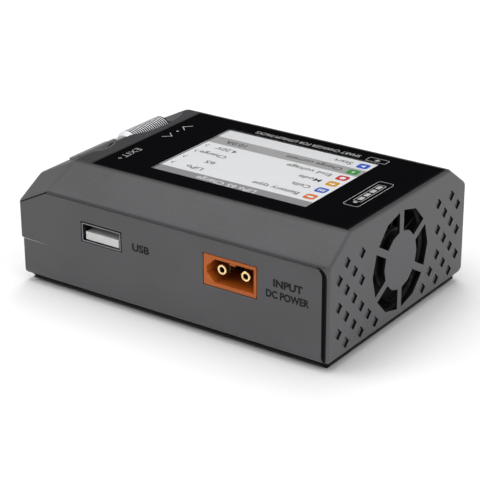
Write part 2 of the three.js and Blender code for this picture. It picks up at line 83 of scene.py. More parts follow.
def smooth(piece, angle=32):
    """Smooth shading with crisp edges, and flat faces kept flat beside their fillets."""
    piece.data.shade_smooth()
    piece.data.set_sharp_from_angle(angle=radians(angle))
    weighted = piece.modifiers.new("flat_faces", "WEIGHTED_NORMAL")
    weighted.keep_sharp = True


def move(piece, at):
    """Moves a finished piece by a matrix in millimetres."""
    piece.data.transform(Matrix.Scale(MM, 4) @ at @ Matrix.Scale(1 / MM, 4))


def build(name, bm, at=None):
    """A mesh object from a bmesh in millimetres, placed by a matrix in millimetres."""
    if at is not None:
        bm.transform(at)
    bm.transform(Matrix.Scale(MM, 4))
    bmesh.ops.recalc_face_normals(bm, faces=bm.faces)
    mesh = bpy.data.meshes.new(name)
    bm.to_mesh(mesh)
    bm.free()
    piece = bpy.data.objects.new(name, mesh)
    bpy.context.scene.collection.objects.link(piece)
    return piece


def fit(piece, material, *others, body="case", slot="case_grey", stands_for=()):
    """Gives a finished piece its materials and its body. slot, the name of its finish, is not used."""
    parts = [polygon.material_index for polygon in piece.data.polygons]
    piece.data.materials.clear()
    for finish in (material, *others):
        piece.data.materials.append(finish)
    for polygon, part in zip(piece.data.polygons, parts):
        polygon.material_index = min(part, len(others))
    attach(piece, body)
    if stands_for:
        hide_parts(*stands_for)
    return piece


def carve(piece, cutters, operation="DIFFERENCE"):
    """Cuts a piece with, or joins it to, other closed meshes, which are used up."""
    for cutter in cutters:
        cut = piece.modifiers.new(cutter.name, "BOOLEAN")
        cut.operation = operation
        cut.solver = "MANIFOLD"
        cut.object = cutter
    settle(piece)
    for cutter in cutters:
        bpy.data.objects.remove(cutter)


def round_edges(piece, widths, segments=4):
    """Rounds edges. widths gives each edge its fillet in mm from its two ends and the faces beside it."""
    bm = bmesh.new()
    bm.from_mesh(piece.data)
    layer = bm.edges.layers.float.new("bevel_weight_edge")
    found = [(edge, widths(edge)) for edge in bm.edges]
    widest = max(width for _, width in found)
    for edge, width in found:
        edge[layer] = width / widest
    bm.to_mesh(piece.data)
    bm.free()
    bevel = piece.modifiers.new("fillets", "BEVEL")
    bevel.limit_method = "WEIGHT"
    bevel.width = widest * MM
    bevel.segments = segments
    bevel.use_clamp_overlap = False
    settle(piece)


def case_form(inset, floor, top):
    """The faceted block of the case, with its walls and slopes moved in by inset."""
    planes = [
        ((0, 0, floor), (0, 0, -1), 0), ((0, 0, top), (0, 0, 1), 0),
        ((-HALF_LENGTH, 0, 0), (-1, 0, 0), inset), ((HALF_LENGTH, 0, 0), (1, 0, 0), inset),
        ((HALF_LENGTH, 0, END_BAND_Z), (sin(BAND_TILT), 0, cos(BAND_TILT)), inset),
    ]
    for side in (-1, 1):
        slope = Vector((0, side * (HEIGHT - SIDE_BAND_Z), HALF_WIDTH - TOP_HALF_WIDTH))
        low = Vector((HALF_LENGTH, side * HALF_WIDTH, CORNER_LOW_Z))
        back = Vector((CORNER_BACK_X, side * HALF_WIDTH, SIDE_BAND_Z))
        top_corner = Vector((END_BAND_TOP_X, side * TOP_HALF_WIDTH, HEIGHT))
        facet = (back - low).cross(top_corner - low) * side
        planes += [((0, side * HALF_WIDTH, 0), (0, side, 0), inset),
                   ((0, side * HALF_WIDTH, SIDE_BAND_Z), slope, inset), (low, facet, inset)]
    bm = bmesh.new()
    bmesh.ops.create_cube(bm, size=400)
    for point, normal, moved in planes:
        normal = Vector(normal).normalized()
        everything = bm.verts[:] + bm.edges[:] + bm.faces[:]
        cut = bmesh.ops.bisect_plane(bm, geom=everything, dist=1e-4, plane_co=Vector(point) - moved * normal,
                                     plane_no=normal, clear_outer=True)
        rim = [item for item in cut["geom_cut"] if isinstance(item, bmesh.types.BMEdge)]
        bmesh.ops.contextual_create(bm, geom=rim)
    bmesh.ops.remove_doubles(bm, verts=bm.verts, dist=0.02)
    return bm


def case_fillet(edge):
    """Long lower corners 2.4 mm, band edges 1.3 mm, the rest about 1 mm."""
    a, b = (v.co / MM for v in edge.verts)
    along = (b - a).normalized()
    middle = (a + b) / 2
    if abs(along.x) > 0.99:
        return 2.4 if middle.z < SHELL_FLOOR + 1 else (1.3 if middle.z < SIDE_BAND_Z + 1 else 0.7)
    if middle.z < SHELL_FLOOR + 1:
        return 1.8
    return 1.0 if middle.x < 0 or abs(along.z) > 0.99 else 0.8


def box(x0, x1, y0, y1, z0, z1):
    bm = bmesh.new()
    bmesh.ops.create_cube(bm, size=1)
    bm.transform(Matrix.Translation(((x0 + x1) / 2, (y0 + y1) / 2, (z0 + z1) / 2))
                 @ Matrix.Diagonal((x1 - x0, y1 - y0, z1 - z0, 1)))
    return bm


def ball(centre, radii, grow=0):
    bm = bmesh.new()
    bmesh.ops.create_uvsphere(bm, u_segments=64, v_segments=32, radius=1)
    bm.transform(Matrix.Translation(centre) @ Matrix.Diagonal([*(r + grow for r in radii), 1]))
    return bm


def loft(rings):
    """A closed skin through rings of points, each with as many points as the next, capped at both ends."""
    bm = bmesh.new()
    made = [[bm.verts.new(point) for point in ring] for ring in rings]
    for near, far in zip(made, made[1:]):
        for i in range(len(near)):
            j = (i + 1) % len(near)
            bm.faces.new((near[i], near[j], far[j], far[i]))
    bm.faces.new(made[0][::-1])
    bm.faces.new(made[-1])
    return bm


def grow_outline(outline, by):
    """Moves every side of a convex outline outwards."""
    count = len(outline)
    moved = []
    for i in range(count):
        before, here, after = (Vector(outline[(i + k) % count]) for k in (-1, 0, 1))
        n1 = Vector(((here - before).y, -(here - before).x)).normalized()
        n2 = Vector(((after - here).y, -(after - here).x)).normalized()
        moved.append(here + (n1 + n2) * by / (1 + n1.dot(n2)))
    return moved


def wall_cutter(name, outline, surface, deep, across, up, lip=0.25):
    """A hole with a small chamfered lip: an outline drawn on a wall, sunk deep below its surface.
    across and up are the outline's axes in the case, and their cross product points out of the wall."""
    across, up = Vector(across), Vector(up)
    out = across.cross(up)
    ccw = sum(a[0] * b[1] - b[0] * a[1] for a, b in zip(outline, outline[1:] + outline[:1])) > 0
    outline = outline if ccw else outline[::-1]
    rings = []
    for height, grow in ((-deep, 0), (-lip, 0), (0, lip), (1, lip)):
        points = grow_outline(outline, grow)
        rings.append([across * p[0] + up * p[1] + out * (surface + height) for p in points])
    return build(name, loft(rings))


def rectangle(x, z, width, height):
    return [(x - width / 2, z - height / 2), (x + width / 2, z - height / 2),
            (x + width / 2, z + height / 2), (x - width / 2, z + height / 2)]


# Scoops for the fingertip beside the roller and the key, in the frame of the control band
ROLLER_SCOOP = ((1.5, -10.5, 1), (5.6, 13, 3.5))
KEY_SCOOP = ((1, 12.8, 0.8), (3.2, 5, 1.87))

shell = build("upper_shell_moulding", case_form(0, SHELL_FLOOR, HEIGHT))
round_edges(shell, case_fillet, segments=5)

recess_floor = 33.6
cavity = build("cavity", case_form(WALL, SHELL_FLOOR - 5, recess_floor - 1.8))
bay = build("bay", box(0.6, 12.6, -21.5, 23, -14, -WALL), BAND)
carve(cavity, [bay], "UNION")
carve(cavity, [build("bowl", ball(*ROLLER_SCOOP, grow=1.2), BAND)])
carve(shell, [cavity])

# Glass recess, display and fan clearances, finger scoops and the slots of key and roller
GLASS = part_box("display_glass")
GLASS_LOW, GLASS_HIGH = (corner / MM for corner in GLASS)
GAP = 0.3
ROLLER = {"s": 4.6, "y": -8.3, "h": -2.5, "r": 4, "length": 17.6}
KEY = {"s": 4.4, "y": 13.05, "width": 4.4, "length": 15.7, "proud": 0.85}
key_slot = rectangle(KEY["s"], KEY["y"], KEY["width"] + 2 * GAP, KEY["length"] + 2 * GAP)
roller_slot = rectangle(ROLLER["s"], ROLLER["y"], 2 * (ROLLER["r"] + GAP), ROLLER["length"] + 4.2)
glass_middle = (GLASS_LOW + GLASS_HIGH) / 2
glass_size = GLASS_HIGH - GLASS_LOW
carve(shell, [
    wall_cutter("glass_recess", rectangle(glass_middle.x, 0, glass_size.x + 2 * GAP, glass_size.y + 2 * GAP),
                HEIGHT, HEIGHT - recess_floor, (1, 0, 0), (0, 1, 0), lip=0.2),
    build("display_window", box(-36.2, 20.8, -21.5, 21.5, 28, 36)),
    build("fan_top", box(-47.4, -36.8, -15.2, 15.2, 30, recess_floor + 0.1)),
])
carve(shell, [build("roller_scoop", ball(*ROLLER_SCOOP), BAND), build("key_scoop", ball(*KEY_SCOOP), BAND)])
for name, outline in (("key_slot", key_slot), ("roller_slot", roller_slot)):
    slot_cutter = wall_cutter(name, outline, 0, 9, (1, 0, 0), (0, 1, 0), lip=0.2)
    move(slot_cutter, BAND)
    carve(shell, [slot_cutter])

# Openings in the long walls, each with its small moulded lip
POWER = {"x": -20.17, "z": 19.25, "width": 16.1, "height": 8.5}
USB = {"x": 20.84, "z": 19.69, "width": 13.5, "height": 5.8}
BALANCE = {"x": 5, "z": 19, "width": 19.9, "height": 5.8, "pitch": 2.5, "count": 7}
SIGNAL = {"x": 28, "z": 19, "width": 8.2, "height": 4.4, "pitch": 2.54, "count": 3}


def port_opening(name, port, side, clear=GAP):
    outline = rectangle(-side * port["x"], port["z"], port["width"] + 2 * clear, port["height"] + 2 * clear)
    return wall_cutter(name, outline, HALF_WIDTH, WALL + 1, (-side, 0, 0), (0, 0, 1), lip=0.15)


carve(shell, [port_opening("input_opening", POWER, 1, 0.15), port_opening("usb_opening", USB, 1, 0)])
carve(shell, [port_opening("output_opening", POWER, -1, 0.15)])
carve(shell, [port_opening("balance_opening", BALANCE, -1), port_opening("signal_opening", SIGNAL, -1)])

# Fan grille: six openings with faceted ends between spokes 2 mm wide, then rows of blind diamond dimples
FAN_Z = 18.25
GRILLE = {"hub": 8, "hub_flank": 7.9, "rim": 13.8, "rim_flank": 13.5, "spoke": 2, "plate": 0.7}
DIMPLE_HALF, DIMPLE_DEEP = 1.65, 0.65
DIMPLE_ROWS = ((27.2, (19, 26)), (23.6, (22.5, 29.5)), (19.95, (19, 26)), (16.4, (22.5, 29.5)),
               (12.85, (19, 26)), (9.3, (15.5, 22.5, 29.5)), (5.7, (12, 19, 26)))


def grille_opening(index):
    middle = (index + 0.5) * tau / 6
    points = []
    for radius, share in (("hub_flank", 1), ("hub", 0), ("hub_flank", -1),
                          ("rim_flank", -1), ("rim", 0), ("rim_flank", 1)):
        flank = pi / 6 - GRILLE["spoke"] / 2 / GRILLE[radius]
        turn = middle + share * flank
        points.append((-GRILLE[radius] * sin(turn), FAN_Z + GRILLE[radius] * cos(turn)))
    return points


plate_back = [[(x, 14 * cos(k * tau / 96), FAN_Z + 14 * sin(k * tau / 96)) for k in range(96)]
              for x in (-HALF_LENGTH + GRILLE["plate"], -HALF_LENGTH + WALL + 0.1)]
carve(shell, [build("plate_back", loft(plate_back))])
for i in range(6):
    rings = [[Vector((x, -across, up)) for across, up in grille_opening(i)]
             for x in (-HALF_LENGTH - 1, -HALF_LENGTH + WALL + 0.1)]
    carve(shell, [build("grille_opening", loft(rings))])

dimples = bmesh.new()
for z, distances in DIMPLE_ROWS:
    for y in [side * d for d in distances for side in (-1, 1)]:
        rings = []
        for x, half in ((-HALF_LENGTH + DIMPLE_DEEP, DIMPLE_HALF * 0.97), (-HALF_LENGTH - 1, DIMPLE_HALF)):
            rings.append([Vector((x, y + half * cos(turn), z + half * sin(turn)))
                          for turn in (0, pi / 2, pi, 3 * pi / 2)])
        part = loft(rings)
        mesh = bpy.data.meshes.new("dimple")
        part.to_mesh(mesh)
        part.free()
        dimples.from_mesh(mesh)
        bpy.data.meshes.remove(mesh)
carve(shell, [build("dimples", dimples)])

# Step of the lower front and end walls, which wraps on to the supply wall and fades out there
carve(shell, [
    build("front_step", box(-60, 60, -60, -HALF_WIDTH + STEP_IN, -1, STEP_Z)),
    build("end_step", box(HALF_LENGTH - STEP_IN, 60, -60, 60, -1, STEP_Z)),
])
crease = [[(x, HALF_WIDTH + out + lift, z + up) for out, up in ((0.3, 0.3), (-0.36, 0.08), (0.3, -0.42))]
          for x, lift, z in ((38.6, 0.38, 12.72), (HALF_LENGTH + 0.6, 0, STEP_Z + 0.02))]
CORNER_FACES, CORNER_STEP_AT = atan2(0.576, 0.817), 58.9   # where the corner of the lower wall is cut back
corner_step = box(CORNER_STEP_AT, 70, -20, 20, -1, STEP_Z)
carve(shell, [build("wrap_crease", loft(crease)),
              build("corner_step", corner_step, Matrix.Rotation(CORNER_FACES, 4, "Z"))])

# Shadow line that frames each long wall: under the bands, round the fan end's corner and down
GROOVE = [  # x, z, half width, depth
    (50.7, 22.15, 0.2, 0.3), (39.1, 27.92, 0.24, 0.3), (38.3, 27.82, 0.42, 0.26), (-30, 27.84, 0.42, 0.26),
    (-45.6, 27.85, 0.36, 0.36), (-46.5, 27.65, 0.42, 0.5), (-47.2, 27.1, 0.5, 0.6), (-47.65, 26.4, 0.58, 0.7),
    (-47.8, 25.6, 0.65, 0.8), (-47.8, 15, 0.65, 0.8), (-47.8, -1, 0.6, 0.8),
]


def groove_side(i):
    """Direction across the groove at one of its points, pointing up and out."""
    here = Vector(GROOVE[i][:2])
    before, after = Vector(GROOVE[max(i - 1, 0)][:2]), Vector(GROOVE[min(i + 1, len(GROOVE) - 1)][:2])
    sides = [Vector((a.y, -a.x)).normalized() for a in (here - before, after - here) if a.length > 0]
    mean = sides[0] + sides[-1]
    return mean / (mean.dot(sides[0])) if len(sides) > 1 else sides[0]


for side in (-1, 1):
    rings = []
    for i, (x, z, half, deep) in enumerate(GROOVE):
        n = groove_side(i)
        section = ((1.5 * half, 0.15), (0.3 * half, -deep), (-0.4 * half, -deep), (-half, 0.15))
        rings.append([(x + n.x * u, side * (HALF_WIDTH + out), z + n.y * u) for u, out in section])
    carve(shell, [build("wall_groove", loft(rings))])


def near_groove(x, z):
    """True close to the shadow line, seen square on to the wall."""
    for (x0, z0, h0, _), (x1, z1, h1, _) in zip(GROOVE, GROOVE[1:]):
        line = Vector((x1 - x0, z1 - z0))
        share = min(1, max(0, Vector((x - x0, z - z0)).dot(line) / line.length_squared))
        if (Vector((x0, z0)) + line * share - Vector((x, z))).length < h0 + (h1 - h0) * share:
            return True
    return False


# Faces sunk below the outside get finish 1, painted shade; the scoop by the key finish 2, painted
# shade; the crease of the step finish 3, a painted highlight; and the shallow run of the shadow line
# finish 4, painted shade
for polygon in shell.data.polygons:
    spot, facing = polygon.center / MM, polygon.normal
    sunk_end = -HALF_LENGTH + 0.02 < spot.x < -HALF_LENGTH + WALL and abs(facing.x) < 0.5
    if sunk_end and abs(spot.y) < 32 and 3 < spot.z < 29.5:
        polygon.material_index = 1
    if HALF_WIDTH - 0.9 < abs(spot.y) < HALF_WIDTH - 0.03 and near_groove(spot.x, spot.z):
        polygon.material_index = 4 if -46 < spot.x < 39 else 1
    in_band = BAND.inverted() @ spot - Vector(KEY_SCOOP[0])
    if 0.98 < Vector([in_band[k] / KEY_SCOOP[1][k] for k in range(3)]).length < 1.02:
        polygon.material_index = 2
    if abs(spot.z - STEP_Z) < 0.45 and HALF_WIDTH - 0.4 < spot.y and 0.3 < facing.z < 0.98:
        polygon.material_index = 3
smooth(shell)


def add(tree, kind, inputs=(), **settings):
    """Adds a shader node. inputs are (socket, value or other node's output) pairs."""
    node = tree.nodes.new("ShaderNode" + kind)
    for key, value in settings.items():
        setattr(node, key, value)
    for socket, value in inputs:
        if isinstance(value, bpy.types.NodeSocket):
            tree.links.new(value, node.inputs[socket])
        else:
            node.inputs[socket].default_value = value
    return node


def group(name, inputs, outputs):
    """A shader node group with float inputs and the given outputs, and its two end nodes."""
    tree = bpy.data.node_groups.new(name, "ShaderNodeTree")
    for socket, value in inputs:
        made = tree.interface.new_socket(socket, in_out="INPUT", socket_type="NodeSocketFloat")
        made.default_value = value
    for socket, kind in outputs:
        tree.interface.new_socket(socket, in_out="OUTPUT", socket_type=kind)
    return tree, tree.nodes.new("NodeGroupInput"), tree.nodes.new("NodeGroupOutput")


def use(tree, effect, inputs=()):
    """Places a node group in a material with its own values."""
    node = tree.nodes.new("ShaderNodeGroup")
    node.node_tree = effect
    for socket, value in inputs:
        node.inputs[socket].default_value = value
    return node


def noise(tree, scale, detail=2.0, stretch=None):
    """The grey value of a noise that sticks to the piece. stretch gives each axis its own scale."""
    place = add(tree, "TexCoord").outputs["Object"]
    if stretch:
        place = add(tree, "Mapping", (("Vector", place), ("Scale", stretch))).outputs["Vector"]
    return add(tree, "TexNoise", (("Vector", place), ("Scale", scale), ("Detail", detail))).outputs["Fac"]


# Effect: the grain of an eroded mould. Height for the bump, Mottle for slow changes of tone and gloss
grain, ends, out = group("moulded_grain", (("Grain per mm", 3.5), ("Softness", 0.5)),
                         (("Height", "NodeSocketFloat"), ("Mottle", "NodeSocketFloat")))
place = add(grain, "TexCoord").outputs["Object"]
per_metre = add(grain, "Math", ((0, ends.outputs["Grain per mm"]), (1, 1000)), operation="MULTIPLY")
fine = add(grain, "TexNoise", (("Vector", place), ("Scale", per_metre.outputs[0]), ("Detail", 3.0),
                               ("Roughness", ends.outputs["Softness"])))
pits = add(grain, "TexVoronoi", (("Vector", place), ("Scale", per_metre.outputs[0])), feature="SMOOTH_F1")
height = add(grain, "Math", ((0, fine.outputs["Fac"]), (1, pits.outputs["Distance"])), operation="ADD")
grain.links.new(height.outputs[0], out.inputs["Height"])
grain.links.new(noise(grain, 55.0, 4.0), out.inputs["Mottle"])

# Effect: edges rubbed by handling, lightened as wear and as a painted highlight. Mask is 1 on a worn corner
# and 0 on flats
rubbed_highlight, ends, out = group("rubbed_edges_and_highlight", (("Reach mm", 0.5), ("Amount", 1.0)),
                          (("Mask", "NodeSocketFloat"),))
reach = add(rubbed_highlight, "Math", ((0, ends.outputs["Reach mm"]), (1, MM)), operation="MULTIPLY")
rounded = add(rubbed_highlight, "Bevel", (("Radius", reach.outputs[0]),), samples=4)
flat = add(rubbed_highlight, "NewGeometry")
likeness = add(rubbed_highlight, "VectorMath", ((0, rounded.outputs["Normal"]), (1, flat.outputs["Normal"])),
               operation="DOT_PRODUCT")
bent = add(rubbed_highlight, "MapRange", (("Value", likeness.outputs["Value"]), ("From Min", 0.995), ("From Max", 0.9)))
worn_highlight = add(rubbed_highlight, "Math", ((0, bent.outputs[0]), (1, noise(rubbed_highlight, 420.0))), operation="MULTIPLY")
scaled = add(rubbed_highlight, "Math", ((0, worn_highlight.outputs[0]), (1, ends.outputs["Amount"])), operation="MULTIPLY")
rubbed_highlight.links.new(scaled.outputs[0], out.inputs["Mask"])

# Effect: a little dust that lies on what faces up
dust, ends, out = group("settled_dust", (("Amount", 0.1),), (("Mask", "NodeSocketFloat"),))
facing = add(dust, "SeparateXYZ", (("Vector", add(dust, "NewGeometry").outputs["Normal"]),))
thin = add(dust, "MapRange", (("Value", noise(dust, 900.0, 6.0)), ("From Min", 0.52), ("From Max", 0.75)))
upward = add(dust, "Math", ((0, facing.outputs["Z"]), (1, thin.outputs[0])),
             operation="MULTIPLY", use_clamp=True)
lying = add(dust, "Math", ((0, upward.outputs[0]), (1, ends.outputs["Amount"])), operation="MULTIPLY")
dust.links.new(lying.outputs[0], out.inputs["Mask"])


def shader(name, colour, roughness, **values):
    """A material with a Principled shader and its constants, and with it its tree and the shader."""
    material = bpy.data.materials.new(name)
    material.use_nodes = True
    tree = material.node_tree
    surface = tree.nodes["Principled BSDF"]
    surface.inputs["Base Color"].default_value = colour
    surface.inputs["Roughness"].default_value = roughness
    for socket, value in values.items():
        surface.inputs[socket.replace("_", " ")].default_value = value
    material.diffuse_color = colour
    return material, tree, surface


def tint(tree, base, shade, mask, kind="MIX"):
    """Mixes a second colour over a first by a mask. Either colour is a value or a socket."""
    mix = add(tree, "Mix", data_type="RGBA", blend_type=kind)
    for socket, value in ((0, mask), (6, base), (7, shade)):
        if isinstance(value, bpy.types.NodeSocket):
            tree.links.new(value, mix.inputs[socket])
        else:
            mix.inputs[socket].default_value = value
    return mix.outputs[2]


def scaled_mask(tree, value, low, high, to_low=0.0, to_high=1.0):
    return add(tree, "MapRange", (("Value", value), ("From Min", low), ("From Max", high),
                                  ("To Min", to_low), ("To Max", to_high))).outputs[0]


def patchy(name, colour, gloss, scale, detail=2.0, stretch=None, tones=None, glosses=None, **values):
    """A material whose tone, or gloss, or both wander with a noise between the two that are given."""
    material, tree, surface = shader(name, colour, gloss, **values)
    mask = noise(tree, scale, detail, stretch)
    if tones:
        tree.links.new(tint(tree, *tones, mask), surface.inputs["Base Color"])
    if glosses:
        tree.links.new(scaled_mask(tree, mask, 0.3, 0.7, *glosses), surface.inputs["Roughness"])
    return material


GRAIN_HEIGHT = 0.04 * MM


def moulded_plastic(name, colour, roughness=0.5, grain_per_mm=3.5, bump=0.12, rub=0.5, dusty=0.05, **values):
    """Matte moulded plastic: eroded grain, slow mottle, rubbed edges lightened as wear and as painted
    highlight, and a trace of dust. Returns its tree, its shader and its body colour too, for what is
    printed over it and for painted shade laid on it."""
    material, tree, surface = shader(name, colour, roughness, **values)
    texture = use(tree, grain, (("Grain per mm", grain_per_mm),))
    edges = use(tree, rubbed_highlight, (("Amount", rub),))
    film = use(tree, dust, (("Amount", dusty),))
    light = [min(1, c * 1.12) for c in colour[:3]] + [1]
    dark = [c * 0.9 for c in colour[:3]] + [1]
    body = tint(tree, dark, light, scaled_mask(tree, texture.outputs["Mottle"], 0.3, 0.7))
    # Rubbed edges are lighter: partly wear, partly a painted highlight
    rubbed_highlight_colour = [min(1, c * 1.6 + 0.01) for c in colour[:3]] + [1]
    body = tint(tree, body, rubbed_highlight_colour, edges.outputs["Mask"])
    body = tint(tree, body, srgb(150, 148, 144), film.outputs["Mask"])
    tree.links.new(body, surface.inputs["Base Color"])
    gloss = scaled_mask(tree, texture.outputs["Mottle"], 0.3, 0.7, roughness - 0.06, roughness + 0.06)
    tree.links.new(gloss, surface.inputs["Roughness"])
    relief = add(tree, "Bump", (("Height", texture.outputs["Height"]), ("Strength", bump),
                                ("Distance", GRAIN_HEIGHT)))
    tree.links.new(relief.outputs["Normal"], surface.inputs["Normal"])
    return material, tree, surface, body


def plastic(*sizes, **values):
    """Moulded plastic with nothing over it."""
    return moulded_plastic(*sizes, **values)[0]


def shadowed(name, colour, roughness, specular):
    """Plastic coloured as painted shade for a hollow, which is never rubbed and gathers no dust."""
    return plastic(name, colour, roughness, rub=0.0, dusty=0.0, Specular_IOR_Level=specular)


CASE_GREY = srgb(77, 76, 78)
TOP_PAINTED_SHADE = srgb(46, 46, 48)
case_plastic, tree, surface, body = moulded_plastic("case_plastic", CASE_GREY, 0.5, rub=0.35,
                                                    Specular_IOR_Level=0.35)
# The flat top is masked off and coloured a darker grey: painted shade on the top
spot = add(tree, "SeparateXYZ", (("Vector", add(tree, "TexCoord").outputs["Object"]),))
top_shade_mask = scaled_mask(tree, spot.outputs["Z"], (HEIGHT - 0.5) * MM, (HEIGHT - 0.1) * MM)
tree.links.new(tint(tree, body, TOP_PAINTED_SHADE, top_shade_mask), surface.inputs["Base Color"])
# Painted shade: the sunk walls of the fan end and the deep run of the shadow line are near black
recess_plastic = shadowed("recess_plastic", srgb(20, 20, 21), 0.6, 0.2)
# Painted shade: the scoop beside the key is coloured darker
scoop_plastic = plastic("scoop_plastic", srgb(30, 30, 31), 0.5, rub=0.2, Specular_IOR_Level=0.25)
# Painted highlight: the upward faces of the step's crease are coloured much lighter
crease_plastic = plastic("crease_plastic", srgb(165, 165, 167), 0.5, rub=0.0)
# Painted shade: the shallow run of the shadow line is coloured darker
shade_plastic = shadowed("shade_plastic", srgb(62, 62, 64), 0.55, 0.25)
fit(shell, case_plastic, recess_plastic, scoop_plastic, crease_plastic, shade_plastic,
    stands_for=["upper_shell"])

# ---------------------------------------------------------------------------------------------
# Base cover. A moulded plate that closes the shell from below, with intake slots under the heat
# sink, pockets for the feet and countersunk holes for the four case screws. Its near black is painted
# shade for the dark gap and contact shadow under the case.
# ---------------------------------------------------------------------------------------------
PLATE_UNDER, PLATE_RIM, PLATE_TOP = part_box("base_cover")[0].z / MM, 1.7, 3.0
FOOT = {"x": 36, "y": 26, "r": 4, "sink": 1.4}
BOSS = {"x": 44.2, "y": 29.2}


def rounded_block(name, x, y, z, width, depth, height, fillet=0.3, segments=3, at=None, vertical=None):
    """A block with its middle at (x, y, z) and rounded edges. vertical is the upright edges' own fillet."""
    piece = build(name, box(x - width / 2, x + width / 2, y - depth / 2, y + depth / 2,
                            z - height / 2, z + height / 2))

    def widths(edge):
        upright = abs(edge.verts[0].co.z - edge.verts[1].co.z) > 1e-6
        return vertical if upright and vertical else fillet

    round_edges(piece, widths, segments)
    if at is not None:
        move(piece, at)
    return piece


def turned(name, profile, steps=48, axis="Z", at=(0, 0, 0), matrix=None):
    """A lathe-turned piece from (radius, height) points, with its axis along X, Y or Z through at."""
    bm = bmesh.new()
    rings = []
    for radius, height in profile:
        if radius < 1e-6:
            rings.append([bm.verts.new((0, 0, height))])
        else:
            rings.append([bm.verts.new((radius * cos(k * tau / steps), radius * sin(k * tau / steps), height))
                          for k in range(steps)])
    closed = profile[0] != profile[-1] and profile[0][0] > 1e-6
    for near, far in zip(rings, rings[1:] + ([rings[0]] if closed else [])):
        for k in range(steps):
            j = (k + 1) % steps
            corners = [near[k % len(near)], near[j % len(near)], far[j % len(far)], far[k % len(far)]]
            bm.faces.new(list(dict.fromkeys(corners)))
    turns = {"X": Matrix.Rotation(pi / 2, 4, "Y"), "Y": Matrix.Rotation(-pi / 2, 4, "X"),
             "Z": Matrix.Identity(4)}
    bm.transform(Matrix.Translation(at) @ turns[axis])
    return build(name, bm, matrix)


def rod(name, radius, low, high, steps=48, axis="Z", at=(0, 0, 0), matrix=None):
    """A plain round bar between two heights along its axis."""
    return turned(name, ((0, low), (radius, low), (radius, high), (0, high)), steps, axis, at, matrix)


cover = rounded_block("base_plate", -0.3, 0, (PLATE_UNDER + PLATE_RIM) / 2, 95.4, 64.8,
                      PLATE_RIM - PLATE_UNDER, fillet=0.25, vertical=2.2)
plug = rounded_block("plug", 0, 0, (PLATE_RIM - 0.2 + PLATE_TOP) / 2, 94.2, 64.1,
                     PLATE_TOP - PLATE_RIM + 0.2, 0.2)
carve(cover, [plug], "UNION")
cutters = []
for x in (-1, 1):
    for y in (-1, 1):
        screw_hole = ((0, -1), (2.7, -1), (2.7, PLATE_UNDER), (2.5, PLATE_UNDER + 0.2), (2.5, 2.1),
                      (1.3, 2.1), (1.3, 4), (0, 4))
        foot_at = (x * FOOT["x"], y * FOOT["y"], 0)
        cutters.append(rod("foot_pocket", FOOT["r"] + GAP, -1, FOOT["sink"], at=foot_at))
        cutters.append(turned("screw_hole", screw_hole, at=(x * BOSS["x"], y * BOSS["y"], 0)))
for i in range(7):
    cutters.append(rounded_block("intake_slot", 6 + 4.5 * i, 0, 2, 1.6, 24, 6, fillet=0.1, vertical=0.75))
carve(cover, cutters)
smooth(cover)
# Painted shade: the cover is coloured near black for the dark gap under the case
base_plastic = plastic("base_plastic", srgb(11, 11, 12), 0.6, rub=0.3, Specular_IOR_Level=0.2)
fit(cover, base_plastic, slot="base_black", stands_for=["base_cover"])

# ---------------------------------------------------------------------------------------------
# Feet and case screws. Four die-cut rubber discs glued into their pockets, and four pan-head
# screws with hex sockets that pull the base cover up against the shell's bosses.
# ---------------------------------------------------------------------------------------------
foot_rubber = plastic("foot_rubber", srgb(34, 34, 35), 0.85, grain_per_mm=6, bump=0.3, rub=0.8, dusty=0.3)
screw_steel, tree, surface = shader("screw_steel", srgb(178, 180, 184), 0.32, Metallic=1.0)
turning = add(tree, "TexWave", (("Vector", add(tree, "TexCoord").outputs["Object"]), ("Scale", 900.0),
                                ("Distortion", 1.5), ("Detail", 2.0)), wave_type="RINGS")
tree.links.new(scaled_mask(tree, turning.outputs["Fac"], 0, 1, 0.24, 0.42), surface.inputs["Roughness"])
corner = 0
for x in (-1, 1):
    for y in (-1, 1):
        corner += 1
        centre = (x * FOOT["x"], y * FOOT["y"], 0)
        dome = ((0, 0), (3.5, 0), (3.85, 0.12), (4, 0.4), (4, 1.1), (0, 1.1))
        foot = turned(f"foot_disc_{corner}", dome, at=centre)
        smooth(foot)
        fit(foot, foot_rubber, slot="foot_rubber", stands_for=[f"rubber_foot_{corner}"])
        thread = [(0.8 + 0.2 * (k % 2), 1.8 + 0.25 * k) for k in range(37)]
        head = [(0, 1.4), (0.9, 1.4), (0.95, 1.05), (1.1, 1.0), (2.05, 1.0), (2.2, 1.15), (2.2, 1.8)]
        boss = (x * BOSS["x"], y * BOSS["y"], 0)
        screw = turned(f"screw_{corner}", [*head, *thread, (0, 11)], at=boss)
        carve(screw, [rod("hex_socket", 0.92, 0, 1.39, 6, at=boss)])
        smooth(screw)
        fit(screw, screw_steel, slot="screw_steel", stands_for=[f"case_screw_{corner}"])

# ---------------------------------------------------------------------------------------------
# Display glass. A 1 mm pane printed black from behind except for the picture window, glued into
# the recess of the shell. White prints: labels for the controls, a gauge mark and a name line.
# ---------------------------------------------------------------------------------------------
PICTURE = {"x0": -31.9, "x1": 16.4, "half_y": 18.0, "z": 34.3}
picture_middle = (PICTURE["x0"] + PICTURE["x1"]) / 2
picture_width = PICTURE["x1"] - PICTURE["x0"]
glass = rounded_block("glass_pane", glass_middle.x, 0, glass_middle.z, *glass_size, fillet=0.12, vertical=0.5)
window = rounded_block("window", picture_middle, 0, glass_middle.z, picture_width, 2 * PICTURE["half_y"], 4,
                       fillet=0.01, segments=2, vertical=0.15)
carve(glass, [window])
smooth(glass)
glass_black, tree, surface = shader("glass_black", srgb(9, 9, 11), 0.06, IOR=1.45, Specular_IOR_Level=0.35)
tree.links.new(scaled_mask(tree, noise(tree, 60.0, 5.0), 0.4, 0.7, 0.05, 0.13), surface.inputs["Roughness"])
